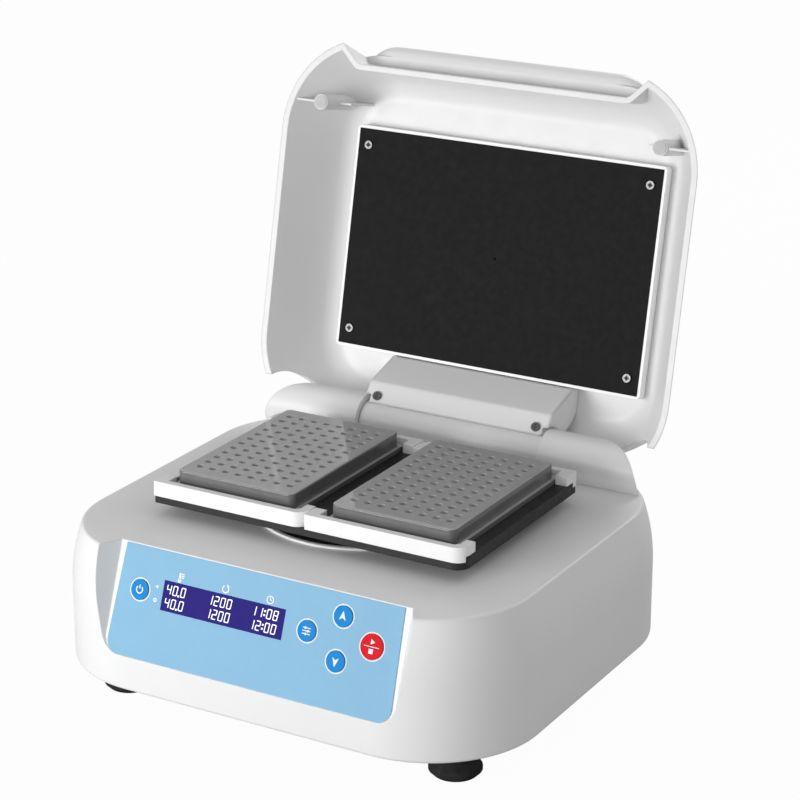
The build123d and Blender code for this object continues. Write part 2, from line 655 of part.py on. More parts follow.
def tact_switches():
    z1 = -WALL - BOARD_BACK
    return [
        panel_box(x, v, 6, 6, z1, z1 + 3.4) + panel_rod(x, v, 1.7, z1 + 3.4, z1 + 5)
        for x, v, radius in KEYS.values()
    ]


def key(x, v, radius):
    """Round cap, its skirt through the panel, a retaining flange and the stem over its switch."""
    switch_top = -WALL - BOARD_BACK + 5
    inner = radius - KEY_STEP
    cap = panel_rod(x, v, radius, OVERLAY_THICK - 0.45 + KEY_TRAVEL, OVERLAY_THICK + KEY_PROUD)
    cap = fillet(cap.edges().group_by(Axis(PANEL.origin, PANEL.z_dir))[-1], 0.3)
    skirt = panel_rod(x, v, inner, -WALL - 1.2, OVERLAY_THICK + 0.3)
    flange = panel_rod(x, v, radius, -WALL - 1.4, -WALL - 0.15)
    stem = panel_rod(x, v, 2, switch_top + KEY_TRAVEL + 0.05, -WALL - 1)
    return cap + skirt + flange + stem


# ------------------------------------------------------------------ electrics
def supply_board():
    """Open power supply on the bottom plate: board, transformer, heat sink and capacitors."""
    z = FLOOR
    top = z + BOARD_LIFT + BOARD_THICK
    x0, y0, y1 = BOARD_TO_SIDE - HALF_WIDTH, -20, 74
    x1 = x0 + 46
    parts = [box(x0, x1, y0, y1, z + BOARD_LIFT, top)]
    parts += [rod(x, y, z, z + BOARD_LIFT, 2.5) for x in (x0 + 5, x1 - 5) for y in (y0 + 5, y1 - 5)]
    parts.append(box(x0 + 9, x0 + 36, y0 + 36, y0 + 66, top, top + 24))
    parts.append(box(x1 - 9, x1 - 5, y0 + 12, y1 - 30, top, top + 28))
    parts += [rod(x0 + 16, y, top, top + 25, 8) for y in (y0 + 12, y0 + 78)]
    parts += [rod(x0 + 32, y0 + 12, top, top + 18, 5)]
    return parts


def control_board():
    """Main board on the bottom plate: board, posts, driver heat sink, processor and connectors."""
    z = FLOOR
    top = z + BOARD_LIFT + BOARD_THICK
    x1, y0, y1 = HALF_WIDTH - BOARD_TO_SIDE, -40, 70
    x0 = x1 - 40
    parts = [box(x0, x1, y0, y1, z + BOARD_LIFT, top)]
    parts += [rod(x, y, z, z + BOARD_LIFT, 2.5) for x in (x0 + 5, x1 - 5) for y in (y0 + 5, y1 - 5)]
    parts.append(box(x0 + 14, x0 + 28, y0 + 30, y0 + 44, top, top + 1.6))
    parts.append(box(x0 + 14, x0 + 36, y1 - 34, y1 - 22, top, top + 20))
    parts += [box(x0 + 4, x0 + 12, y, y + 18, top, top + 9) for y in (y0 + 14, y0 + 40, y0 + 62)]
    parts += [rod(x0 + 34, y, top, top + 14, 4) for y in (y0 + 18, y0 + 32)]
    return parts


def power_inlet():
    """Appliance inlet: flange outside the wall, body through it, three pins in its cavity."""
    w, h = INLET_HOLE
    flange = box(INLET_X - 25, INLET_X + 25, BACK + TINY, BACK + 2.5, INLET_Z - 12.5, INLET_Z + 12.5)
    flange = fillet(flange.edges().filter_by(Axis.Y), 4)
    body = box(INLET_X - w / 2 + 0.2, INLET_X + w / 2 - 0.2, BACK - 20, BACK + 1,
               INLET_Z - h / 2 + 0.2, INLET_Z + h / 2 - 0.2)
    inlet = flange + body
    cw, ch, deep = INLET_CAVITY
    inlet -= box(INLET_X - cw / 2, INLET_X + cw / 2, BACK + 2.5 - deep, BACK + 3,
                 INLET_Z - ch / 2, INLET_Z + ch / 2)
    for x in (-INLET_SCREW, INLET_SCREW):
        inlet -= Pos(INLET_X + x, BACK, INLET_Z) * Rot(90, 0, 0) * Cylinder(1.6, 20)
    pins = [
        box(INLET_X + x - 1, INLET_X + x + 1, BACK - 26, BACK - 0.5, INLET_Z + z - 2, INLET_Z + z + 2)
        for x, z in ((-7, 0.5), (7, 0.5), (0, 4.5))
    ]
    return [inlet - pins] + pins


def inlet_screws():
    screws = []
    for x in (-INLET_SCREW, INLET_SCREW):
        shank = Pos(INLET_X + x, BACK - 3.5, INLET_Z) * Rot(90, 0, 0) * Cylinder(1.5, 12)
        head = Pos(INLET_X + x, BACK + 3.3, INLET_Z) * Rot(90, 0, 0) * Cylinder(2.8, 1.6)
        slot = Pos(INLET_X + x, BACK + 4.1, INLET_Z) * Box(3.6, 1.2, 0.7)
        cross = Pos(INLET_X + x, BACK + 4.1, INLET_Z) * Box(0.7, 1.2, 3.6)
        screws.append(shank + head - slot - cross)
    return screws


def switch_body():
    w, h = SWITCH_HOLE
    flange = box(SWITCH_X - w / 2 - 1.6, SWITCH_X + w / 2 + 1.6, BACK + TINY, BACK + 1.8,
                 INLET_Z - h / 2 - 1.6, INLET_Z + h / 2 + 1.6)
    flange = fillet(flange.edges().filter_by(Axis.Y), 1)
    body = box(SWITCH_X - w / 2 + 0.1, SWITCH_X + w / 2 - 0.1, BACK - 18, BACK + 1,
               INLET_Z - h / 2 + 0.1, INLET_Z + h / 2 - 0.1)
    pocket = box(SWITCH_X - w / 2 + 1.4, SWITCH_X + w / 2 - 1.4, BACK - 9, BACK + 3,
                 INLET_Z - h / 2 + 1.2, INLET_Z + h / 2 - 1.2)
    terminals = [
        box(SWITCH_X + x - 0.4, SWITCH_X + x + 0.4, BACK - 26, BACK - 18, INLET_Z - 2.4, INLET_Z + 2.4)
        for x in (-7, 7)
    ]
    axle = Pos(SWITCH_X, ROCKER_Y, INLET_Z) * Cylinder(1.5, h - 1)
    return (flange + body - pocket) + axle + terminals


def rocker():
    """Rocker turning about an upright axle: two faces that meet at a shallow angle."""
    w, h = SWITCH_HOLE
    half = ROCKER_HALF
    rise = half * math.tan(math.radians(ROCKER_TILT))
    low, lowest, middle = ROCKER_Y - 1.5, ROCKER_Y - 4.0, ROCKER_Y + 4.4
    points = [(-half, low), (-2.5, lowest), (2.5, lowest), (half, low),
              (half, middle + rise), (0, middle), (-half, middle + rise)]
    z0, z1 = INLET_Z - h / 2 + 1.5, INLET_Z + h / 2 - 1.5
    face = make_face(Polyline([(SWITCH_X + x, y, z0) for x, y in points], close=True))
    solid = extrude(face, amount=z1 - z0, dir=(0, 0, 1))
    solid = solid & rod(SWITCH_X, ROCKER_Y, z0 - 1, z1 + 1, w / 2 - 1.5)
    solid -= rod(SWITCH_X, ROCKER_Y, z0 - 1, z1 + 1, 1.5 + RUN)
    return Pos(SWITCH_X, ROCKER_Y, 0) * Rot(0, 0, ROCKER_TILT) * Pos(-SWITCH_X, -ROCKER_Y, 0) * solid


# ------------------------------------------------------------------ lid, drawn shut
LID_GROW = -deck_inset(DECK)         # the lid's rim follows the deck's edge
SLOPE = math.radians(LID_SLOPE)


def lid_volume(inset):
    """The lid's outside, moved inwards by inset, open at the rim when inset."""
    round_r = LID_ROOF_ROUND - inset
    edge = HALF_WIDTH + LID_GROW
    rise = LID_ROOF_ROUND * (1 - math.sin(SLOPE))
    run = (LID_HEIGHT - rise) * math.tan(SLOPE)
    centre = (edge - run - LID_ROOF_ROUND * math.cos(SLOPE), RIM + LID_HEIGHT - LID_ROOF_ROUND)
    knee = (centre[0] + round_r * math.cos(SLOPE), centre[1] + round_r * math.sin(SLOPE))
    top = (centre[0], centre[1] + round_r)
    low = RIM - (1.0 if inset else 0.0)
    foot = (knee[0] + (knee[1] - low) * math.tan(SLOPE), low)
    inner = edge - LID_RING
    with BuildSketch(Plane.XZ) as sketch:
        with BuildLine():
            Polyline((inner, top[1]), (inner, low), foot, knee)
            RadiusArc(knee, top, -round_r)
            Line(top, (inner, top[1]))
        make_face()
    path = outline(LID_GROW)
    return sweep(sketch.sketch, path=path) + slab(LID_GROW - LID_RING + CORE_OVERLAP, low, top[1])


def scoop(grow):
    """Finger scoop cut in the lid's front edge under the lip."""
    floor, half = -SCOOP_FLOOR + grow, SCOOP_HALF + grow * 0.4
    reach = 30.0
    points = [(-half + 11.5, floor), (half - 11.5, floor), (half - 11.5 + reach, floor - reach),
              (-half + 11.5 - reach, floor - reach)]
    face = make_face(Polyline([(x, y, RIM - 2) for x, y in points], close=True))
    face = fillet([v for v in face.vertices() if v.Y > floor - 1], 8.0)
    return extrude(face, amount=SCOOP_HEIGHT + 2 + (grow if grow else 0), dir=(0, 0, 1))


def lip():
    """Pull lip above the scoop: a round bar with long tapering ends."""
    r, t = LIP_RADIUS, LIP_TAPER
    nose = (t**2 + r**2) / (2 * r)
    with BuildSketch(Plane.XZ) as sketch:
        with BuildLine():
            Line((-LIP_HALF, 0), (LIP_HALF, 0))
            RadiusArc((LIP_HALF, 0), (LIP_HALF - t, r), -nose)
            Line((LIP_HALF - t, r), (t - LIP_HALF, r))
            RadiusArc((t - LIP_HALF, r), (-LIP_HALF, 0), -nose)
        make_face()
    bar = revolve(sketch.sketch, Axis.X)
    return Pos(0, LIP_Y, RIM + SCOOP_HEIGHT + LIP_RADIUS) * bar


def lid_posts():
    parts = []
    for side in (-1, 1):
        x = side * POST_X
        parts.append(rod(x, POST_Y, RIM - LID_SEAT_GAP + 0.3 + PAD_SUNK, RIM + LID_HEIGHT, POST_RADIUS))
        near, far = sorted((x, side * (HALF_WIDTH + 5)))
        parts.append(box(near, far, POST_Y - POST_RIB, POST_Y + POST_RIB, RIM + 1.5, RIM + LID_HEIGHT))
        near, far = sorted((x, x - side * (POST_RADIUS + 9)))
        parts.append(box(near, far, POST_Y - POST_RIB, POST_Y + POST_RIB, RIM + 15, RIM + LID_HEIGHT))
    return parts


def lid_shell():
    solid = lid_volume(0)
    shell = (solid - scoop(0)) + lip()
    shell -= lid_volume(LID_WALL) - scoop(LID_WALL)
    for part in lid_posts():
        shell += part & solid
    clear = HUMP_RADIUS + LID_HUMP_CLEAR
    shell -= cross_rod(-HALF_WIDTH - 10, HALF_WIDTH + 10, HINGE_Y, HINGE_Z, clear)
    shell -= box(-HALF_WIDTH - 10, HALF_WIDTH + 10, HINGE_Y, BACK + 20, 0, HINGE_Z)
    for x, y in PLINTH_SCREWS:
        shell -= rod(x, y, HEATER_FACE, ROOF + 1.8, SCREW_RADIUS + TINY)
    for x, y in ARM_SCREWS:
        shell -= rod(x, y, ROOF - 1, ROOF + 1.8, SCREW_RADIUS + TINY)
    return shell


def heater_box(grow, z0, z1):
    half_x, half_y = HEATER[0] / 2 + grow, HEATER[1] / 2 + grow
    return box(-half_x, half_x, HEATER_CENTRE - half_y, HEATER_CENTRE + half_y, z0, z1)


def heater_carrier():
    """Plastic tray on the lid's roof that holds the heated plate, its film and its insulation."""
    face_z = HEATER_FACE
    tray = heater_box(HEATER_BORDER, face_z + 0.3, ROOF - TINY)
    tray = fillet(tray.edges().filter_by(Axis.Z), 3)
    tray = tray & lid_volume(LID_WALL + CARRIER_CLEAR)
    tray -= heater_box(TINY, face_z - 1, face_z + PLATE_THICK)
    tray -= heater_box(-6, face_z - 1, ROOF - 2)
    for x, y in PLINTH_SCREWS:
        tray += rod(x, y, face_z + PLATE_THICK + TINY, ROOF - TINY, 5)
        tray -= rod(x, y, face_z - 1, ROOF + 1, SCREW_RADIUS + TINY)
    return tray


def heater_layer(z0, z1, inset):
    """Flat layer in the carrier, with room for the screw bosses."""
    layer = heater_box(-6 - inset, z0, z1)
    inner = HEATER[0] / 2 - PLINTH_INSET[0] - 6.2
    for x, y in PLINTH_SCREWS:
        near, far = sorted((math.copysign(inner, x), math.copysign(HEATER[0], x)))
        layer -= box(near, far, y - 8, y + 8, z0 - 1, z1 + 1)
    return layer


def heater_plate():
    face_z = HEATER_FACE
    plate = heater_box(0, face_z, face_z + PLATE_THICK)
    for x, y in PLINTH_SCREWS:
        plate -= rod(x, y, face_z - 1, face_z + 5, SCREW_RADIUS + TINY)
    return plate - rod(0, HEATER_CENTRE, face_z - 1, face_z + 5, 0.9)


def plinth_screws():
    length = ROOF + 1.5 - HEATER_FACE
    return [screw_up(x, y, HEATER_FACE - TINY, SCREW_RADIUS, length, 2.7, 1.2) for x, y in PLINTH_SCREWS]


def hinge_point(dy, dz):
    """Point given from the hinge's axis."""
    return (HINGE_Y + dy, HINGE_Z + dz)


def offset_line(points, distance):
    """Open polyline moved sideways by distance, to its left."""
    moved = []
    for i, (a, b) in enumerate(points):
        normals = []
        if i:
            p = points[i - 1]
            normals.append((-(b - p[1]), a - p[0]))
        if i < len(points) - 1:
            q = points[i + 1]
            normals.append((-(q[1] - b), q[0] - a))
        units = [(n[0] / math.hypot(*n), n[1] / math.hypot(*n)) for n in normals]
        mean = (sum(u[0] for u in units) / len(units), sum(u[1] for u in units) / len(units))
        scale = distance / (mean[0] ** 2 + mean[1] ** 2)
        moved.append((a + mean[0] * scale, b + mean[1] * scale))
    return moved


def hinge_cover():
    """Folded cover over the hinge arms, with a cheek at each end that reaches the lid's roof."""
    back = offset_line(COVER_LINE, COVER_SHEET)
    sheet = prism_x([hinge_point(*p) for p in COVER_LINE + back[::-1]], -COVER_HALF, COVER_HALF)
    roof = ROOF - HINGE_Z - TINY
    cheek = [COVER_LINE[0], COVER_LINE[1], COVER_LINE[2], (-9.0, 17.0), (-17.0, 29.5), (-24.0, roof),
             (COVER_TOP[0], roof)]
    cover = sheet
    for side in (-1, 1):
        near, far = sorted((side * COVER_HALF, side * (COVER_HALF - COVER_SHEET)))
        cover += prism_x([hinge_point(*p) for p in cheek], near, far)
    cover -= cross_rod(BARREL_HALF - 2.5, HALF_WIDTH, HINGE_Y, HINGE_Z, HUMP_RADIUS + 1)
    cover -= cross_rod(-HALF_WIDTH, -BARREL_HALF + 2.5, HINGE_Y, HINGE_Z, HUMP_RADIUS + 1)
    cover -= cross_rod(-HALF_WIDTH, HALF_WIDTH, HINGE_Y, HINGE_Z, BARREL_RADIUS + 0.3)
    for x in COVER_SCREW_X:
        cover -= cover_screw_frame(x) * Cylinder(SCREW_RADIUS + TINY, 30)
    return cover


def cover_screw_frame(x):
    """Place of a cover screw's seat, its z axis pointing out of the cover's lower strip."""
    a, b = COVER_CREASE, COVER_FOOT
    length = math.hypot(b[0] - a[0], b[1] - a[1])
    along = ((b[0] - a[0]) / length, (b[1] - a[1]) / length)
    reach = length - COVER_SCREW_UP
    seat = hinge_point(a[0] + along[0] * reach, a[1] + along[1] * reach)
    return Plane(origin=(x, *seat), x_dir=(1, 0, 0), z_dir=(0, along[1], -along[0])).location


def cover_screws():
    parts = []
    for x in COVER_SCREW_X:
        body = Pos(0, 0, -4.5) * Cylinder(SCREW_RADIUS, 11) + Pos(0, 0, 0.7 + TINY) * Cylinder(2.9, 1.4)
        body -= Pos(0, 0, 1.4) * Box(3.6, 0.7, 1.2) + Pos(0, 0, 1.4) * Box(0.7, 3.6, 1.2)
        parts.append(cover_screw_frame(x) * body)
    return parts


def hinge_barrel():
    """Barrel that turns on the hinge shaft, with two arms that carry the lid's roof."""
    barrel = cross_rod(-BARREL_HALF, BARREL_HALF, HINGE_Y, HINGE_Z, BARREL_RADIUS)
    face = offset_line(COVER_LINE, COVER_SHEET + TINY)
    roof = ROOF - HINGE_Z - TINY
    arm = [(-2.0, -4.0), face[2], face[1], face[0], (face[0][0], roof), (-24.5, roof), (-18.0, 20.0),
           (-5.0, 8.0)]
    for side in (-1, 1):
        near, far = sorted((side * (ARM_OUTER - ARM_WIDTH), side * ARM_OUTER))
        barrel += prism_x([hinge_point(*p) for p in arm], near, far)
    barrel -= cross_rod(-HALF_WIDTH, HALF_WIDTH, HINGE_Y, HINGE_Z, HINGE_SHAFT_RADIUS + RUN)
    for x in COVER_SCREW_X:
        barrel -= cover_screw_frame(x) * Pos(0, 0, -8) * Cylinder(SCREW_RADIUS + TINY, 12)
    for x, y in ARM_SCREWS:
        barrel -= rod(x, y, ROOF - 9, ROOF + 1, SCREW_RADIUS + TINY)
    return barrel


def arm_studs():
    """Headless studs between the arms and the lid's roof."""
    return [rod(x, y, ROOF - 8, ROOF + 1.6, SCREW_RADIUS) for x, y in ARM_SCREWS]


def rest_pads():
    """Soft pads let into the posts, which meet the deck when the lid is shut."""
    z0 = DECK + 0.3
    return [rod(side * POST_X, POST_Y, z0, z0 + PAD_SUNK, POST_RADIUS - 0.8) for side in (-1, 1)]


def hinge_shaft():
    return cross_rod(-HINGE_SHAFT_END, HINGE_SHAFT_END, HINGE_Y, HINGE_Z, HINGE_SHAFT_RADIUS)


def shaft_clips():
    """Clips in the humps that keep the shaft in place."""
    parts = []
    for side in (-1, 1):
        x = side * (BARREL_HALF + BARREL_GAP + 2 * WALL + 0.6)
        clip = cross_rod(x - 0.5, x + 0.5, HINGE_Y, HINGE_Z, 7)
        clip -= cross_rod(x - 1, x + 1, HINGE_Y, HINGE_Z, HINGE_SHAFT_RADIUS + TINY)
        parts.append(clip)
    return parts


def open_lid(shape):
    """Shut to open, about the hinge's axis."""
    return Pos(0, HINGE_Y, HINGE_Z) * Rot(-OPEN_ANGLE, 0, 0) * Pos(0, -HINGE_Y, -HINGE_Z) * shape


# ------------------------------------------------------------------ assembly
def build():
    nodes["upper_housing"] = upper_housing()
    nodes["bottom_plate"] = bottom_plate()
    nodes["collar_ring"] = collar_ring()
    nodes["splash_disc"] = splash_disc()
    nodes["rubber_feet"] = [rubber_foot(x, y) for x, y in FEET]
    nodes["foot_screws"] = [foot_screw(x, y) for x, y in FEET]
    nodes["housing_screws"] = [
        screw_up(x, y, PLATE_BOTTOM - TINY, SCREW_RADIUS, 12, 2.9, 1.8) for x, y in BOSSES
    ]
    nodes["mechanism_plate"] = mechanism_plate()
    nodes["mechanism_columns"] = [
        rod(x, y, FLOOR, MECHANISM[0], 5) - rod(x, y, FLOOR - 1, FLOOR + 10, SCREW_RADIUS + TINY)
        - rod(x, y, MECHANISM[0] - 10, MECHANISM[0] + 1, SCREW_RADIUS + TINY)
        for x, y in COLUMNS_XY
    ]
    nodes["column_screws"] = [
        screw_up(x, y, PLATE_BOTTOM - TINY, SCREW_RADIUS, 10, 2.9, 1.8) for x, y in COLUMNS_XY
    ] + [
        rod(x, y, MECHANISM[0] - 8, MECHANISM[1] + 1, SCREW_RADIUS)
        + rod(x, y, MECHANISM[1] + TINY, MECHANISM[1] + 2, 2.9)
        for x, y in COLUMNS_XY
    ]
    nodes["spindle_bearings"] = spindle_bearings()
    nodes["guide_bushes"] = lower_bushes()
    nodes["motor_stator"] = [motor_can(), stator_core()]
    nodes["motor_rotor"] = motor_rotor()
    nodes["eccentric_hub"] = eccentric_hub()
    nodes["counterweight"] = counterweight()
    for i, (x, y) in enumerate(CRANK_XY, 1):
        nodes[f"guide_crank_{i}"] = guide_crank(x, y)
    nodes["tray_hub"] = tray_hub()
    nodes["tray_bearings"] = [tray_bearing()] + upper_bushes()
    shift = Pos(ORBIT, 0, 0)
    nodes["tray_plate"] = shift * tray_plate()
    head = TRAY_TOP - TRAY_THICK + 2.4
    nodes["hub_screws"] = [
        shift * (rod(x, y, head + TINY, head + 1.8, 2.9) + rod(x, y, head - 9, head + 1, SCREW_RADIUS))
        for x, y in HUB_SCREWS
    ]
    for name, solid in rails().items():
        nodes[name] = shift * solid
    nodes["heater_mats"] = [
        shift * Pos(x, 0, TRAY_TOP - MAT_THICK) * Box(*HEATER_MAT, MAT_THICK) for x in BLOCK_X
    ]
    nodes["heat_block_left"] = shift * heat_block(BLOCK_X[0])
    nodes["heat_block_right"] = shift * heat_block(BLOCK_X[1])
    nodes["panel_overlay"] = overlay()
    nodes["lcd_window"] = lcd_window()
    nodes["lcd_module"] = lcd_module()
    nodes["display_board"] = display_board()
    nodes["display_posts"] = board_posts()
    nodes["key_switches"] = tact_switches()
    for name, spot in KEYS.items():
        nodes[f"key_{name}"] = key(*spot)
    nodes["power_supply"] = supply_board()
    nodes["control_board"] = control_board()
    nodes["power_inlet"] = power_inlet()
    nodes["inlet_screws"] = inlet_screws()
    nodes["power_switch_body"] = switch_body()
    nodes["power_rocker"] = rocker()
    nodes["hinge_shaft"] = hinge_shaft()
    nodes["shaft_clips"] = shaft_clips()
    face_z = HEATER_FACE + PLATE_THICK
    lid = {
        "lid_shell": lid_shell(),
        "lid_rest_pads": rest_pads(),
        "heater_carrier": heater_carrier(),
        "heater_plate": heater_plate(),
        "heater_film": heater_layer(face_z + TINY, face_z + 0.8, 0.5),
        "heater_insulation": heater_layer(face_z + 0.8, ROOF - 2 - TINY, 0.5),
        "heater_plate_screws": plinth_screws(),
        "hinge_cover": hinge_cover(),
        "hinge_cover_screws": cover_screws(),
        "hinge_barrel": hinge_barrel(),
        "hinge_arm_studs": arm_studs(),
    }
    for name, shape in lid.items():
        parts = shape if isinstance(shape, list) else [shape]
        nodes[name] = [open_lid(part) for part in parts]


def solids_of(shape):
    """Flat list of the solids in a shape or a list of shapes."""
    parts = shape if isinstance(shape, list) else [shape]
    return [solid for part in parts for solid in part.solids()]


build()
boxes = [solid.bounding_box() for shape in nodes.values() for solid in solids_of(shape)]
centre_y = (min(b.min.Y for b in boxes) + max(b.max.Y for b in boxes)) / 2
place = Pos(0, -centre_y, 0)
os.makedirs("parts", exist_ok=True)
for name, shape in nodes.items():
    solids = [place * solid for solid in solids_of(shape)]
    whole = solids[0] if len(solids) == 1 else Compound(children=solids)
    whole.label = name
    export_step(whole, f"parts/{name}.step")
print("nodes", len(nodes), "centre_y", round(centre_y, 4))
print("hinge", round(HINGE_Y - centre_y, 4), HINGE_Z)
print("rocker", SWITCH_X, round(ROCKER_Y - centre_y, 4), INLET_Z)
print("cranks", [(round(x, 4), round(y - centre_y, 4)) for x, y in CRANK_XY])
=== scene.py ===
import json
import math

import bpy
import bmesh
from mathutils import Matrix, Vector


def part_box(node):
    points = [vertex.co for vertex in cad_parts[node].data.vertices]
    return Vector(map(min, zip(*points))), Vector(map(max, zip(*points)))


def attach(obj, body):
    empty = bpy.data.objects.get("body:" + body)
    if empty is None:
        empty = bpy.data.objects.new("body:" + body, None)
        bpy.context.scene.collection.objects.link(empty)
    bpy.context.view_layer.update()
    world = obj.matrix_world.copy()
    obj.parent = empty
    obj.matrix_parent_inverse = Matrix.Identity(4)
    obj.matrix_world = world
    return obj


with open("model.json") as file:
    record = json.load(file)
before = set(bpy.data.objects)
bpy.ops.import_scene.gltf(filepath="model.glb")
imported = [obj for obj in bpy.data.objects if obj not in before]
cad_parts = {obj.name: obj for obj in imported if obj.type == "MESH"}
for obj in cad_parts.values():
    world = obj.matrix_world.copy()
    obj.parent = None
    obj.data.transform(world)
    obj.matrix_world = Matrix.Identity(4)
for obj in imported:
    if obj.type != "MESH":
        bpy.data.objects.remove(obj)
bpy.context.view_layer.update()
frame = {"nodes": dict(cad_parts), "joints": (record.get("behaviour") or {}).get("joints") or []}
nodes = frame["nodes"]
bpy.ops.object.select_all(action="DESELECT")

MM = 0.001
UNTURNED = Matrix.Identity(4)

# ------------------------------------------------------------------ materials
PRINCIPLED = "Principled BSDF"
BEVEL_SAMPLES = 6
LINES = (1, 1, 14)          # stretch of a pattern into fine lines
PAINTED_TOP_MARGIN = 4 * MM        # wells lie at least this far inside a block's flange; the painted lighter top and wells start this far in
STUDIO_WASH = 0.97          # share of plain white in what the camera sees of the floor


class Finish:
    """A material under construction, read in Object coordinates."""

    def __init__(self, name, colour, roughness, metallic=0.0, specular=0.5):
        self.material = bpy.data.materials.new(name)
        self.material.use_nodes = True
        self.tree = self.material.node_tree
        self.shader = self.tree.nodes[PRINCIPLED]
        self.colour = colour
        self.put("Base Color", (*colour, 1.0))
        self.put("Roughness", roughness)
        self.put("Metallic", metallic)
        self.put("Specular IOR Level", specular)
        self.material.diffuse_color = (*colour, 1.0)
        self.place = self.node("ShaderNodeTexCoord").outputs["Object"]

    def put(self, socket, value):
        self.shader.inputs[socket].default_value = value

    def node(self, kind, **values):
        made = self.tree.nodes.new(kind)
        for key, value in values.items():
            if hasattr(made, key):
                setattr(made, key, value)
            else:
                made.inputs[key.replace("_", " ")].default_value = value
        return made

    def join(self, start, end):
        self.tree.links.new(start, end)

    def noise(self, size, detail=2.0, stretch=(1, 1, 1)):
        """Noise whose grains are about size metres across."""
        mapping = self.node("ShaderNodeMapping", Scale=stretch)
        self.join(self.place, mapping.inputs["Vector"])
        made = self.node("ShaderNodeTexNoise", Scale=1.0 / size, Detail=detail)
        self.join(mapping.outputs["Vector"], made.inputs["Vector"])
        return made.outputs["Fac"]

    def spread(self, value, low, high):
        """Noise brought from its middle range to low..high."""
        made = self.node("ShaderNodeMapRange", From_Min=0.3, From_Max=0.7, To_Min=low, To_Max=high)
        self.join(value, made.inputs["Value"])
        return made.outputs["Result"]

    def mottle(self, size, other, share=0.5, detail=3.0, stretch=(1, 1, 1)):
        """Colour drifts between the colour so far and another one."""
        self.blend_in(self.spread(self.noise(size, detail, stretch), 0.0, share), other)
        return self

    def blend_in(self, share, other):
        """Mixes another colour over the colour so far, by a share from 0 to 1."""
        mix = self.node("ShaderNodeMix", data_type="RGBA")
        first, second = [i for i in mix.inputs if i.type == "RGBA"]
        before = self.shader.inputs["Base Color"]
        if before.is_linked:
            self.join(before.links[0].from_socket, first)
        else:
            first.default_value = (*self.colour, 1.0)
        second.default_value = (*other, 1.0)
        self.join(share, mix.inputs["Factor"])
        self.join([o for o in mix.outputs if o.type == "RGBA"][0], before)
        return self

    def facing_up(self, low, high):
        """0 on walls and 1 on faces that look up, for a piece that stays level."""
        height = self.node("ShaderNodeSeparateXYZ")
        self.join(self.node("ShaderNodeNewGeometry").outputs["Normal"], height.inputs["Vector"])
        made = self.node("ShaderNodeMapRange", From_Min=low, From_Max=high)
        self.join(height.outputs["Z"], made.inputs["Value"])
        return made.outputs["Result"]

    def within(self, low, high):
        """1 between two corners as seen from above and 0 outside them."""
        spot = self.node("ShaderNodeSeparateXYZ")
        self.join(self.place, spot.inputs["Vector"])
        both = self.node("ShaderNodeMath", operation="MULTIPLY")
        for i, axis in enumerate("XY"):
            offset = self.node("ShaderNodeMath", operation="SUBTRACT")
            offset.inputs[1].default_value = (low[i] + high[i]) / 2
            self.join(spot.outputs[axis], offset.inputs[0])
            size = self.node("ShaderNodeMath", operation="ABSOLUTE")
            self.join(offset.outputs[0], size.inputs[0])
            near = self.node("ShaderNodeMath", operation="LESS_THAN")
            near.inputs[1].default_value = (high[i] - low[i]) / 2
            self.join(size.outputs[0], near.inputs[0])
            self.join(near.outputs[0], both.inputs[i])
        return both.outputs[0]

    def rough(self, size, low, high, stretch=(1, 1, 1)):
        """Roughness drifts between two values."""
        self.join(self.spread(self.noise(size, 3.0, stretch), low, high), self.shader.inputs["Roughness"])
        return self

    def bump(self, size, depth, stretch=(1, 1, 1), detail=2.0):
        """Fine relief, depth in metres. Several calls add up."""
        made = self.node("ShaderNodeBump", Strength=1.0, Distance=depth)
        self.join(self.noise(size, detail, stretch), made.inputs["Height"])
        before = self.shader.inputs["Normal"]
        if before.is_linked:
            self.join(before.links[0].from_socket, made.inputs["Normal"])
        self.join(made.outputs["Normal"], before)
        return self

    def soft_edges(self, radius):
        """Edges catch the light as if rounded to this radius."""
        made = self.node("ShaderNodeBevel", samples=BEVEL_SAMPLES, Radius=radius)
        self.join(made.outputs["Normal"], self.shader.inputs["Normal"])
        return self


def shell_white(name, colour=(0.82, 0.82, 0.82), edges=0.9 * MM):
    """Satin painted housing plastic with a faint orange peel."""
    made = Finish(name, colour, 0.38, specular=0.45).soft_edges(edges)
    made.mottle(60 * MM, tuple(c * 0.97 for c in colour), 0.6)
    made.rough(9 * MM, 0.33, 0.43)
    return made.bump(1.3 * MM, 0.006 * MM)


def gloss_white(name):
    """Glossy white acrylic."""
    made = Finish(name, (0.90, 0.90, 0.90), 0.3).soft_edges(0.5 * MM)
    made.mottle(40 * MM, (0.88, 0.88, 0.885), 0.5).rough(12 * MM, 0.27, 0.33)
    return made.bump(2.5 * MM, 0.002 * MM)


def moulded(name, colour, roughness=0.5, specular=0.5, drift=1.25):
    """Grained engineering plastic."""
    lighter = tuple(min(1.0, c * drift + 0.004) for c in colour)
    made = Finish(name, colour, roughness, specular=specular).soft_edges(0.3 * MM)
    made.mottle(14 * MM, lighter, 0.5).rough(3 * MM, roughness - 0.08, roughness + 0.08)
    return made.bump(0.8 * MM, 0.012 * MM)


def rubber(name, colour=(0.012, 0.012, 0.013)):
    """Dull rubber with a fine grain."""
    made = Finish(name, colour, 0.75, specular=0.3).soft_edges(0.5 * MM)
    made.mottle(5 * MM, tuple(c * 1.1 + 0.015 for c in colour), 0.7).rough(2 * MM, 0.62, 0.85)
    return made.bump(0.5 * MM, 0.02 * MM)


def steel(name, colour=(0.52, 0.53, 0.55), roughness=0.34):
    """Turned or brushed steel with fine lines."""
    made = Finish(name, colour, roughness, metallic=1.0).soft_edges(0.2 * MM)
    made.mottle(3 * MM, tuple(c * 0.8 for c in colour), 0.6, stretch=LINES)
    made.rough(0.8 * MM, roughness - 0.08, roughness + 0.1, LINES)
    return made.bump(0.4 * MM, 0.004 * MM, LINES)


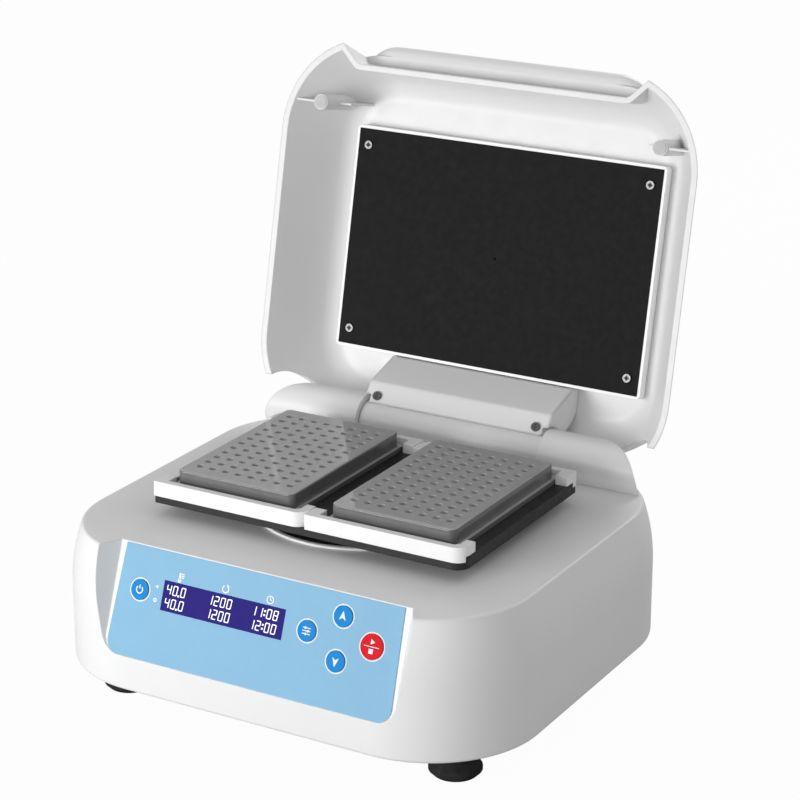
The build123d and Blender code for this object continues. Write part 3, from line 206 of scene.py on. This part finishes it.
def sheet_metal(name, colour):
    """Zinc-plated sheet with a drifting sheen."""
    made = Finish(name, colour, 0.42, metallic=0.9).soft_edges(0.3 * MM)
    made.mottle(16 * MM, tuple(c * 0.75 for c in colour), 0.7).rough(6 * MM, 0.32, 0.52)
    return made.bump(1.2 * MM, 0.005 * MM)


def powder_black(name):
    """Powder coat with a fine pebble."""
    made = Finish(name, (0.011, 0.011, 0.012), 0.5, specular=0.4).soft_edges(0.5 * MM)
    made.mottle(8 * MM, (0.02, 0.02, 0.021), 0.6).rough(3 * MM, 0.42, 0.6)
    return made.bump(0.6 * MM, 0.015 * MM)


def blasted_block(node):
    """Grey anodised aluminium, one grey in truth: the top, its wells and every face that looks up are painted
    light grey as a painted reflection, and the outer sides stay dark grey as painted shade.
    """
    made = Finish(node + "_anodised_painted_sheen", (0.105, 0.105, 0.107), 0.5, specular=0.4).soft_edges(0.4 * MM)
    low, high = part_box(node)
    low, high = [low[i] + PAINTED_TOP_MARGIN for i in (0, 1)], [high[i] - PAINTED_TOP_MARGIN for i in (0, 1)]
    # painted reflection: the top and wells inside the flange margin are painted much lighter than the outer
    # sides, which keep their painted shade
    made.blend_in(made.within(low, high), (0.55, 0.55, 0.555))
    # painted reflection: faces that look up are painted lighter, as if lit from above
    made.blend_in(made.facing_up(0.55, 0.9), (0.50, 0.50, 0.505))
    made.mottle(22 * MM, (0.30, 0.30, 0.305), 0.18).mottle(0.7 * MM, (0.10, 0.10, 0.10), 0.16, detail=1.0)
    made.put("Coat Weight", 0.9)
    made.put("Coat Roughness", 0.05)
    return made.rough(2 * MM, 0.48, 0.62).bump(0.35 * MM, 0.005 * MM)


def heated_plate(name):
    """Hard black anodised plate."""
    made = Finish(name, (0.008, 0.008, 0.008), 0.6, specular=0.12)
    made.mottle(30 * MM, (0.009, 0.009, 0.009), 0.5).rough(4 * MM, 0.56, 0.66)
    return made.bump(0.5 * MM, 0.008 * MM)


def printed_film(name, colour):
    """Velvet-textured control panel film."""
    made = Finish(name, colour, 0.45, specular=0.35)
    made.mottle(25 * MM, tuple(c * 0.96 for c in colour), 0.6).rough(1.5 * MM, 0.4, 0.52)
    return made.bump(0.25 * MM, 0.004 * MM)


def display_glass(name):
    """Lit blue display behind a clear window."""
    made = Finish(name, (0.010, 0.008, 0.09), 0.6, specular=0.03)
    made.mottle(14 * MM, (0.008, 0.007, 0.075), 0.7).mottle(0.3 * MM, (0.014, 0.011, 0.11), 0.3, detail=0.0)
    made.put("Emission Color", (0.022, 0.016, 0.125, 1.0))
    made.put("Emission Strength", 1.0)
    return made.rough(6 * MM, 0.55, 0.65)


def ink(name, colour, glow=0.0):
    """Printed ink, or a lit segment when it glows."""
    made = Finish(name, colour, 0.5, specular=0.3)
    made.mottle(2 * MM, tuple(c * 0.93 for c in colour), 0.5)
    if glow:
        made.put("Emission Color", (*colour, 1.0))
        made.put("Emission Strength", glow)
    return made.rough(1 * MM, 0.45, 0.55)


def circuit_board(name):
    """Green solder mask over copper tracks."""
    made = Finish(name, (0.01, 0.11, 0.045), 0.35)
    made.mottle(2.5 * MM, (0.02, 0.20, 0.09), 0.8, detail=0.0, stretch=(1, 4, 1))
    return made.rough(4 * MM, 0.28, 0.45).bump(2.5 * MM, 0.02 * MM, (1, 4, 1), 0.0)


def silicone(name, colour):
    """Silicone heater sheet that shows the wires under its skin."""
    made = Finish(name, colour, 0.6, specular=0.3)
    made.mottle(6 * MM, tuple(c * 0.8 for c in colour), 0.6).rough(3 * MM, 0.5, 0.7)
    return made.bump(1.5 * MM, 0.03 * MM, (1, 3, 1))


def foam(name):
    """Open-celled insulating foam."""
    made = Finish(name, (0.66, 0.63, 0.52), 0.95, specular=0.1)
    made.mottle(2 * MM, (0.50, 0.47, 0.38), 0.7).rough(2 * MM, 0.88, 1.0)
    return made.bump(1.2 * MM, 0.25 * MM)


FINISHES = {
    shell_white("housing_white"): ["upper_housing", "lid_shell", "hinge_barrel"],
    shell_white("folded_white", edges=4.0 * MM): ["hinge_cover"],
    gloss_white("collar_white"): ["collar_ring", "heater_carrier", "rail_front_left", "rail_front_right",
                                  "rail_rear_left", "rail_rear_right"],
    rubber("black_rubber"): ["rubber_feet", "splash_disc"],
    rubber("pale_rubber", (0.55, 0.55, 0.55)): ["lid_rest_pads"],
    steel("turned_steel"): ["foot_screws", "housing_screws", "column_screws", "mechanism_columns", "hub_screws",
                            "inlet_screws", "hinge_shaft", "shaft_clips", "hinge_arm_studs", "spindle_bearings",
                            "tray_bearings", "motor_rotor", "eccentric_hub", "counterweight", "guide_crank_1",
                            "guide_crank_2", "guide_crank_3"],
    steel("screw_zinc", (0.32, 0.32, 0.32), 0.5): ["heater_plate_screws"],
    steel("dull_screws", (0.16, 0.16, 0.16), 0.45): ["hinge_cover_screws"],
    sheet_metal("zinc_sheet", (0.50, 0.51, 0.53)): ["bottom_plate", "mechanism_plate", "tray_hub"],
    steel("sintered_bronze", (0.46, 0.29, 0.13), 0.45): ["guide_bushes"],
    powder_black("tray_powder_coat"): ["tray_plate", "motor_stator"],
    blasted_block("heat_block_left"): ["heat_block_left"],
    blasted_block("heat_block_right"): ["heat_block_right"],
    heated_plate("anodised_plate"): ["heater_plate"],
    printed_film("panel_film", (0.185, 0.42, 0.62)): ["panel_overlay"],
    display_glass("display_window"): ["lcd_window"],
    moulded("blue_key_plastic", (0.010, 0.235, 0.60), 0.55, specular=0.08, drift=1.1): [
        "key_power", "key_set", "key_up", "key_down"],
    moulded("red_key_plastic", (0.66, 0.008, 0.016), 0.55, specular=0.08, drift=1.1): ["key_start_stop"],
    moulded("black_plastic", (0.014, 0.014, 0.015)): ["lcd_module", "key_switches", "power_inlet",
                                                      "power_switch_body", "power_rocker"],
    moulded("natural_nylon", (0.62, 0.61, 0.56)): ["display_posts"],
    circuit_board("circuit_board"): ["display_board", "power_supply", "control_board"],
    silicone("heater_silicone", (0.50, 0.12, 0.03)): ["heater_mats", "heater_film"],
    foam("insulation_foam"): ["heater_insulation"],
}

for finish, names in FINISHES.items():
    for name in names:
        nodes[name].data.materials.clear()
        nodes[name].data.materials.append(finish.material)

# finishes of the pieces made below
PRINT_WHITE = ink("print_white", (0.86, 0.88, 0.90))
LCD_WHITE = ink("display_segments", (0.90, 0.92, 0.98), glow=0.35)
# painted shade: near-black ink for the discs that stand in for the screw sockets' shade
SOCKET_PAINTED_SHADE = ink("socket_painted_shade", (0.012, 0.012, 0.012))


# ------------------------------------------------------------------ modelling helpers
PRINT = 0.1 * MM            # height of a symbol on a key
FILM_INK = 0.05 * MM        # height of a print on the film and of a lit segment
RING_SIDES = 64
ROUND_SIDES = 24            # sides of a small printed disc


def choose(obj, kind, test):
    """In edit mode, selects only the vertices, edges or faces that pass the test."""
    bpy.ops.mesh.select_mode(type=kind)
    bpy.ops.mesh.select_all(action="DESELECT")
    mesh = bmesh.from_edit_mesh(obj.data)
    found = {"VERT": mesh.verts, "EDGE": mesh.edges, "FACE": mesh.faces}[kind]
    for item in found:
        if test(item):
            item.select_set(True)
    mesh.select_flush_mode()
    bmesh.update_edit_mesh(obj.data)


def editing(obj):
    """Opens one object in edit mode, selected all over."""
    bpy.ops.object.select_all(action="DESELECT")
    bpy.context.view_layer.objects.active = obj
    obj.select_set(True)
    bpy.ops.object.mode_set(mode="EDIT")
    bpy.ops.mesh.select_all(action="SELECT")


def done():
    """Leaves edit mode with nothing selected."""
    bpy.ops.object.mode_set(mode="OBJECT")
    bpy.ops.object.select_all(action="DESELECT")


def thicken(height):
    """Extrudes a flat shape, selected all over in edit mode, upwards."""
    bpy.ops.mesh.extrude_region_move(TRANSFORM_OT_translate={"value": (0, 0, height)})
    bpy.ops.mesh.select_all(action="SELECT")
    bpy.ops.mesh.normals_make_consistent(inside=False)


def polygon(sides, radius, centre=(0, 0), height=PRINT, turn=0.0):
    """Flat printed polygon with a little height, drawn in x and y."""
    bpy.ops.mesh.primitive_circle_add(vertices=sides, radius=radius, fill_type="NGON", location=(0, 0, 0))
    made = bpy.context.active_object
    editing(made)
    bpy.ops.transform.rotate(value=turn, orient_axis="Z", center_override=(0, 0, 0))
    bpy.ops.transform.translate(value=(*centre, 0))
    thicken(height)
    done()
    return made


def bar(width, length, centre=(0, 0), height=PRINT):
    """Flat printed bar."""
    bpy.ops.mesh.primitive_plane_add(size=1, location=(0, 0, 0))
    made = bpy.context.active_object
    editing(made)
    bpy.ops.transform.resize(value=(width, length, 1))
    bpy.ops.transform.translate(value=(*centre, 0))
    thicken(height)
    done()
    return made


def band(inner, outer, centre=(0, 0), height=PRINT, gap=0.0):
    """Flat printed ring, open at its top over an angle of gap."""
    bpy.ops.mesh.primitive_circle_add(vertices=RING_SIDES, radius=inner, fill_type="NOTHING", location=(0, 0, 0))
    made = bpy.context.active_object
    editing(made)
    bpy.ops.mesh.extrude_edges_move()
    bpy.ops.transform.resize(value=(outer / inner, outer / inner, 1))
    if gap:
        choose(made, "FACE", lambda f: abs(math.atan2(*f.calc_center_median().xy)) < gap / 2)
        bpy.ops.mesh.delete(type="FACE")
    bpy.ops.mesh.select_all(action="SELECT")
    bpy.ops.transform.translate(value=(*centre, 0))
    thicken(height)
    done()
    return made


def arrowhead(radius, centre=(0, 0), down=False):
    """Arrowhead with a notched tail, pointing up unless down is set."""
    bpy.ops.mesh.primitive_circle_add(vertices=4, radius=radius, fill_type="NGON", location=(0, 0, 0))
    made = bpy.context.active_object
    editing(made)
    choose(made, "VERT", lambda v: v.co.y < -radius / 2)
    bpy.ops.transform.translate(value=(0, radius * 0.62, 0))
    choose(made, "VERT", lambda v: abs(v.co.x) > radius / 2)
    bpy.ops.transform.resize(value=(0.74, 1, 1), center_override=(0, 0, 0))
    bpy.ops.transform.translate(value=(0, -radius * 0.85, 0))
    bpy.ops.mesh.select_all(action="SELECT")
    if down:
        bpy.ops.transform.rotate(value=math.pi, orient_axis="Z", center_override=(0, 0, 0))
    bpy.ops.transform.translate(value=(*centre, 0))
    thicken(PRINT)
    done()
    return made


def joined(parts, name):
    """Several pieces as one."""
    bpy.ops.object.select_all(action="DESELECT")
    for part in parts:
        part.select_set(True)
    bpy.context.view_layer.objects.active = parts[0]
    if len(parts) > 1:
        bpy.ops.object.join()
    made = bpy.context.active_object
    made.name = name
    made.data.name = name
    bpy.ops.object.select_all(action="DESELECT")
    return made


def finish_piece(piece, placed, finish, body):
    """Puts a piece in its place in its mesh, gives it its finish and lets it ride."""
    piece.data.transform(placed)
    piece.data.materials.clear()
    piece.data.materials.append(finish.material)
    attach(piece, body)
    return piece


# ------------------------------------------------------------------ the control panel's plane
JOINTS = {joint["name"]: joint for joint in frame["joints"]}
NORMAL = -Vector(JOINTS["power_press"]["axis"]).normalized()
ACROSS = Vector((1, 0, 0))
FLAT = 0.02 * MM            # points this near the outermost one count as one flat


def crest(node, direction, test=lambda p: True):
    """Centre of a node's outermost flat in a direction, of the points that pass a test."""
    points = [v.co for v in nodes[node].data.vertices if test(v.co)]
    reach = max(p.dot(direction) for p in points)
    top = [p for p in points if p.dot(direction) > reach - FLAT]
    low = Vector(min(p[i] for p in top) for i in range(3))
    high = Vector(max(p[i] for p in top) for i in range(3))
    return (low + high) / 2


def facing(spot, normal):
    """Places a flat piece drawn in x and y on a face that leans back, at a point of it."""
    turned = Matrix((ACROSS, normal.cross(ACROSS), normal)).transposed().to_4x4()
    return Matrix.Translation(spot) @ turned


def on_panel(spot):
    """Places a flat piece on the control panel at a point of it."""
    return facing(spot, NORMAL)


# ------------------------------------------------------------------ display digits
# lit segments of each figure shown: a at the top, b to f clockwise from it, g in the middle
SEGMENTS = {"0": "abcdef", "1": "bc", "2": "abged", "4": "fgbc", "8": "abcdefg"}
DIGIT_WIDTH = 2.55 * MM
DIGIT_HEIGHT = 5.2 * MM
STROKE = 0.6 * MM
DIGIT_STEP = 4.3 * MM
DOT = 0.55 * MM             # half the width of a decimal point or of a colon's dots
COLON_SPREAD = 0.22         # height of a colon's dots from the middle, as a share of the digit's
POINT_ROOM = {".": 0.55 * MM, ":": 0.85 * MM}    # how far the digits move apart for a mark, each way
SLANT = 0.09
ROW_RISE = 3.9 * MM         # each row's middle, from the window's centre
COLUMN_ENDS = (-26.4 * MM, 5.2 * MM, 36.4 * MM)  # right edges of the numbers, from the window's centre
SHOWN = {ROW_RISE: ("40.0", "1200", "11:08"), -ROW_RISE: ("40.0", "1200", "12:00")}


def segment(length):
    """One lit segment: a long hexagon, drawn upright."""
    bpy.ops.mesh.primitive_circle_add(vertices=6, radius=STROKE * 0.56, fill_type="NGON", location=(0, 0, 0))
    made = bpy.context.active_object
    editing(made)
    for side in (-1, 1):
        choose(made, "VERT", lambda v: v.co.y * side > 0)
        bpy.ops.transform.translate(value=(0, side * (length / 2 - STROKE * 0.45), 0))
    bpy.ops.mesh.select_all(action="SELECT")
    thicken(FILM_INK)
    done()
    return made


def segment_places():
    """Centre and turn of each of a digit's seven segments."""
    w, h = DIGIT_WIDTH / 2, DIGIT_HEIGHT / 2
    upright, lying = 0.0, math.pi / 2
    return {
        "a": (0, h, lying), "g": (0, 0, lying), "d": (0, -h, lying),
        "f": (-w, h / 2, upright), "b": (w, h / 2, upright),
        "e": (-w, -h / 2, upright), "c": (w, -h / 2, upright),
    }


def copied(master, matrix):
    """Copy of a master piece with its own mesh, moved by a matrix."""
    made = master.copy()
    made.data = master.data.copy()
    made.data.transform(matrix)
    bpy.context.scene.collection.objects.link(made)
    return made


def digits(master, text, right, rise):
    """Lit segments of a number whose last digit stands at right."""
    parts = []
    cursor = right - DIGIT_WIDTH / 2
    slant = Matrix.Identity(4)
    slant[0][1] = SLANT
    places = segment_places()
    for mark in reversed(text):
        if mark in SEGMENTS:
            for name in SEGMENTS[mark]:
                x, y, turn = places[name]
                spin = Matrix.Rotation(turn, 4, "Z")
                short = Matrix.Scale(DIGIT_WIDTH / (DIGIT_HEIGHT / 2), 4, (0, 1, 0)) if turn else UNTURNED
                local = slant @ Matrix.Translation((x, y, 0)) @ spin @ short
                parts.append(copied(master, Matrix.Translation((cursor, rise, 0)) @ local))
            cursor -= DIGIT_STEP
        else:
            cursor += DIGIT_STEP / 2 - POINT_ROOM[mark]
            spread = DIGIT_HEIGHT * COLON_SPREAD
            heights = (-DIGIT_HEIGHT / 2,) if mark == "." else (-spread, spread)
            parts += [
                polygon(4, DOT * math.sqrt(2), (cursor + SLANT * y, rise + y), FILM_INK, turn=math.pi / 4)
                for y in heights
            ]
            cursor -= DIGIT_STEP / 2 + POINT_ROOM[mark]
    return parts


def lcd_digits():
    """Both rows of numbers on the display."""
    master = segment(DIGIT_HEIGHT / 2)
    parts = []
    for rise, texts in SHOWN.items():
        for text, right in zip(texts, COLUMN_ENDS):
            parts += digits(master, text, right, rise)
    bpy.data.objects.remove(master)
    piece = joined(parts, "lcd_digits")
    place = on_panel(crest("lcd_window", NORMAL))
    finish_piece(piece, place, LCD_WHITE, "base")


# ------------------------------------------------------------------ key rings and symbols
RING_GAP = 0.3 * MM         # printed ring from its key's edge
RING_WIDTH = 0.65 * MM
PRINT_SUNK = 0.005 * MM     # how far a print lies into the film
LINE = 0.7 * MM             # stroke of the power symbol's bar
ARROW = 2.9 * MM
ARROW_LIFT = 0.3 * MM       # an arrow stands this far towards its tip


def power_symbol():
    """An open ring with a bar in its gap."""
    return [band(1.75 * MM, 2.45 * MM, gap=1.35), bar(LINE, 2.3 * MM, (0, 1.75 * MM))]


def set_symbol():
    """Three sliders."""
    parts = []
    for row, knob in ((1.7, -0.9), (0.0, 1.0), (-1.7, -0.3)):
        parts.append(bar(5.2 * MM, 0.5 * MM, (0, row * MM)))
        parts.append(polygon(20, 0.72 * MM, (knob * MM, row * MM), 0.12 * MM))
    return parts


def start_symbol():
    """A start triangle over a stop square, with a line between them."""
    return [
        polygon(3, 1.75 * MM, (0.1 * MM, 2.7 * MM), turn=math.pi / 2),
        bar(9.6 * MM, 0.42 * MM, (0, 0)),
        bar(2.7 * MM, 2.7 * MM, (0, -2.6 * MM)),
    ]


SYMBOLS = {
    "power": power_symbol,
    "set": set_symbol,
    "up": lambda: [arrowhead(ARROW, (0, ARROW_LIFT))],
    "down": lambda: [arrowhead(ARROW, (0, -ARROW_LIFT), down=True)],
    "start_stop": start_symbol,
}


def key_prints():
    """Each key's symbol, which rides the key, and the ring round it on the film."""
    film = crest("panel_overlay", NORMAL)
    for key, draw in SYMBOLS.items():
        node = "key_" + key
        spot = crest(node, NORMAL)
        low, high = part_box(node)
        radius = (high.x - low.x) / 2
        place = on_panel(spot)
        body = key + "_key"
        finish_piece(joined(draw(), node + "_symbol"), place, PRINT_WHITE, body)
        ring = band(radius + RING_GAP, radius + RING_GAP + RING_WIDTH, height=FILM_INK)
        lift = (film - spot).dot(NORMAL) - PRINT_SUNK
        finish_piece(joined([ring], node + "_ring"), place @ Matrix.Translation((0, 0, lift)),
                     PRINT_WHITE, "base")


# ------------------------------------------------------------------ panel marks
MARK_RISE = 11.9 * MM       # height of the marks over the display's middle
HEAT_MARK = -31.5 * MM      # each column's mark, across from the window's centre
CLOCK_MARK = 30.0 * MM
ROW_MARK = -45.6 * MM


def panel_marks():
    """White marks over the display's three columns, and one beside each of its rows."""
    window = crest("lcd_window", NORMAL)
    film = crest("panel_overlay", NORMAL)
    lift = (film - window).dot(NORMAL)
    thermometer = [
        polygon(ROUND_SIDES, 1.25 * MM, (HEAT_MARK, MARK_RISE - 1.5 * MM), FILM_INK),
        bar(1.1 * MM, 4.6 * MM, (HEAT_MARK, MARK_RISE + 0.6 * MM), FILM_INK),
    ]
    thermometer += [
        bar(2.0 * MM, 0.55 * MM, (HEAT_MARK + 1.9 * MM, MARK_RISE + y * MM), FILM_INK) for y in (0.2, 1.3, 2.4)
    ]
    turning = [
        band(1.75 * MM, 2.4 * MM, (0, MARK_RISE), FILM_INK, gap=1.1),
        polygon(3, 1.15 * MM, (1.2 * MM, MARK_RISE + 1.9 * MM), FILM_INK, turn=-0.6),
    ]
    clock = [
        band(1.85 * MM, 2.4 * MM, (CLOCK_MARK, MARK_RISE), FILM_INK),
        bar(0.5 * MM, 1.6 * MM, (CLOCK_MARK, MARK_RISE + 0.6 * MM), FILM_INK),
        bar(1.3 * MM, 0.5 * MM, (CLOCK_MARK + 0.5 * MM, MARK_RISE), FILM_INK),
    ]
    rows = [
        polygon(3, 1.3 * MM, (ROW_MARK, ROW_RISE), FILM_INK, turn=-math.pi / 2),
        band(0.6 * MM, 1.2 * MM, (ROW_MARK, -ROW_RISE), FILM_INK),
    ]
    piece = joined(thermometer + turning + clock + rows, "panel_marks")
    place = on_panel(window + NORMAL * (lift - PRINT_SUNK))
    finish_piece(piece, place, PRINT_WHITE, "base")


# ------------------------------------------------------------------ heated plate's screws
SOCKET = 1.2 * MM
SOCKET_LIP = 0.06 * MM


def screw_socket_shade():
    """Dark discs on the heads of the heated plate's screws: painted shade standing in for their sockets."""
    faces = [face for face in nodes["heater_plate"].data.polygons if face.normal.y < 0]
    front = max(faces, key=lambda face: face.area).normal.copy()
    low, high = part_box("heater_plate_screws")
    middle = (low + high) / 2
    parts = []
    for side in (-1, 1):
        for rise in (-1, 1):
            head = crest("heater_plate_screws", front, test=lambda p: (
                (p.x - middle.x) * side > 0 and (p.z - middle.z) * rise > 0))
            # painted shade: a flat dark disc where the socket's recess would lie in shade
            socket = polygon(ROUND_SIDES, SOCKET, height=SOCKET_LIP)
            socket.data.transform(facing(head, front))
            parts.append(socket)
    finish_piece(joined(parts, "plate_screw_socket_shade"), UNTURNED, SOCKET_PAINTED_SHADE, "lid")


lcd_digits()
key_prints()
panel_marks()
screw_socket_shade()


# ------------------------------------------------------------------ floor, light and camera
FLOOR_SIZE = 14
FLOOR_MIDDLE = (0, 2, 0)
SKY_STRENGTH = 0.46
# name: (where it stands, what it lights, width and height in metres, watts)
LIGHTS = {
    "key": ((-0.55, -1.2, 0.30), (0, 0, 0.1), (0.8, 0.6), 11.5),
    "fill": ((0.7, -1.4, 0.55), (-0.1, 0.1, 0.25), (0.6, 0.6), 1.6),
    "rim": ((0.0, 1.6, 1.35), (0, 0.1, 0.33), (1.2, 0.6), 16),
}
CAMERA_SPOT = (0.7479, -1.27433, 0.694)
CAMERA_TURN = 30.16         # degrees from straight ahead
CAMERA_PITCH = 19.68        # degrees below level
LENS = 117.95
SENSOR = 36


def area_light(name, spot, target, size, power):
    data = bpy.data.lights.new(name, "AREA")
    data.shape = "RECTANGLE"
    data.size, data.size_y = size
    data.energy = power
    lamp = bpy.data.objects.new(name, data)
    lamp.location = spot
    lamp.rotation_euler = (Vector(target) - Vector(spot)).to_track_quat("-Z", "Y").to_euler()
    bpy.context.scene.collection.objects.link(lamp)


def studio_pale():
    """Pale floor, overexposed as a lit studio sweep is, with only a faint shadow left."""
    pale = Finish("studio_pale", (0.55, 0.55, 0.55), 0.9, specular=0.1)
    pale.mottle(400 * MM, (0.52, 0.52, 0.52), 0.5)
    glow = pale.node("ShaderNodeEmission", Color=(1, 1, 1, 1), Strength=1.0)
    share = pale.node("ShaderNodeMath", operation="MULTIPLY")
    share.inputs[1].default_value = STUDIO_WASH
    pale.join(pale.node("ShaderNodeLightPath").outputs["Is Camera Ray"], share.inputs[0])
    mix = pale.node("ShaderNodeMixShader")
    pale.join(share.outputs[0], mix.inputs[0])
    pale.join(pale.shader.outputs[0], mix.inputs[1])
    pale.join(glow.outputs[0], mix.inputs[2])
    pale.join(mix.outputs[0], pale.tree.nodes["Material Output"].inputs["Surface"])
    return pale.material


def studio():
    bpy.ops.mesh.primitive_plane_add(size=FLOOR_SIZE, location=FLOOR_MIDDLE)
    floor = bpy.context.active_object
    floor.name = "studio_floor"
    floor.data.materials.append(studio_pale())
    world = bpy.data.worlds.new("studio_world")
    bpy.context.scene.world = world
    world.use_nodes = True
    sky = world.node_tree.nodes["Background"]
    sky.inputs["Color"].default_value = (1, 1, 1, 1)
    sky.inputs["Strength"].default_value = SKY_STRENGTH
    for name, (spot, target, size, power) in LIGHTS.items():
        area_light(name, spot, target, size, power)


def camera():
    data = bpy.data.cameras.new("camera")
    data.sensor_width = SENSOR
    data.lens = LENS
    eye = bpy.data.objects.new("camera", data)
    eye.location = CAMERA_SPOT
    eye.rotation_euler = (math.radians(90 - CAMERA_PITCH), 0, math.radians(CAMERA_TURN))
    bpy.context.scene.collection.objects.link(eye)
    bpy.context.scene.camera = eye


studio()
camera()
bpy.context.scene.view_settings.view_transform = "Standard"
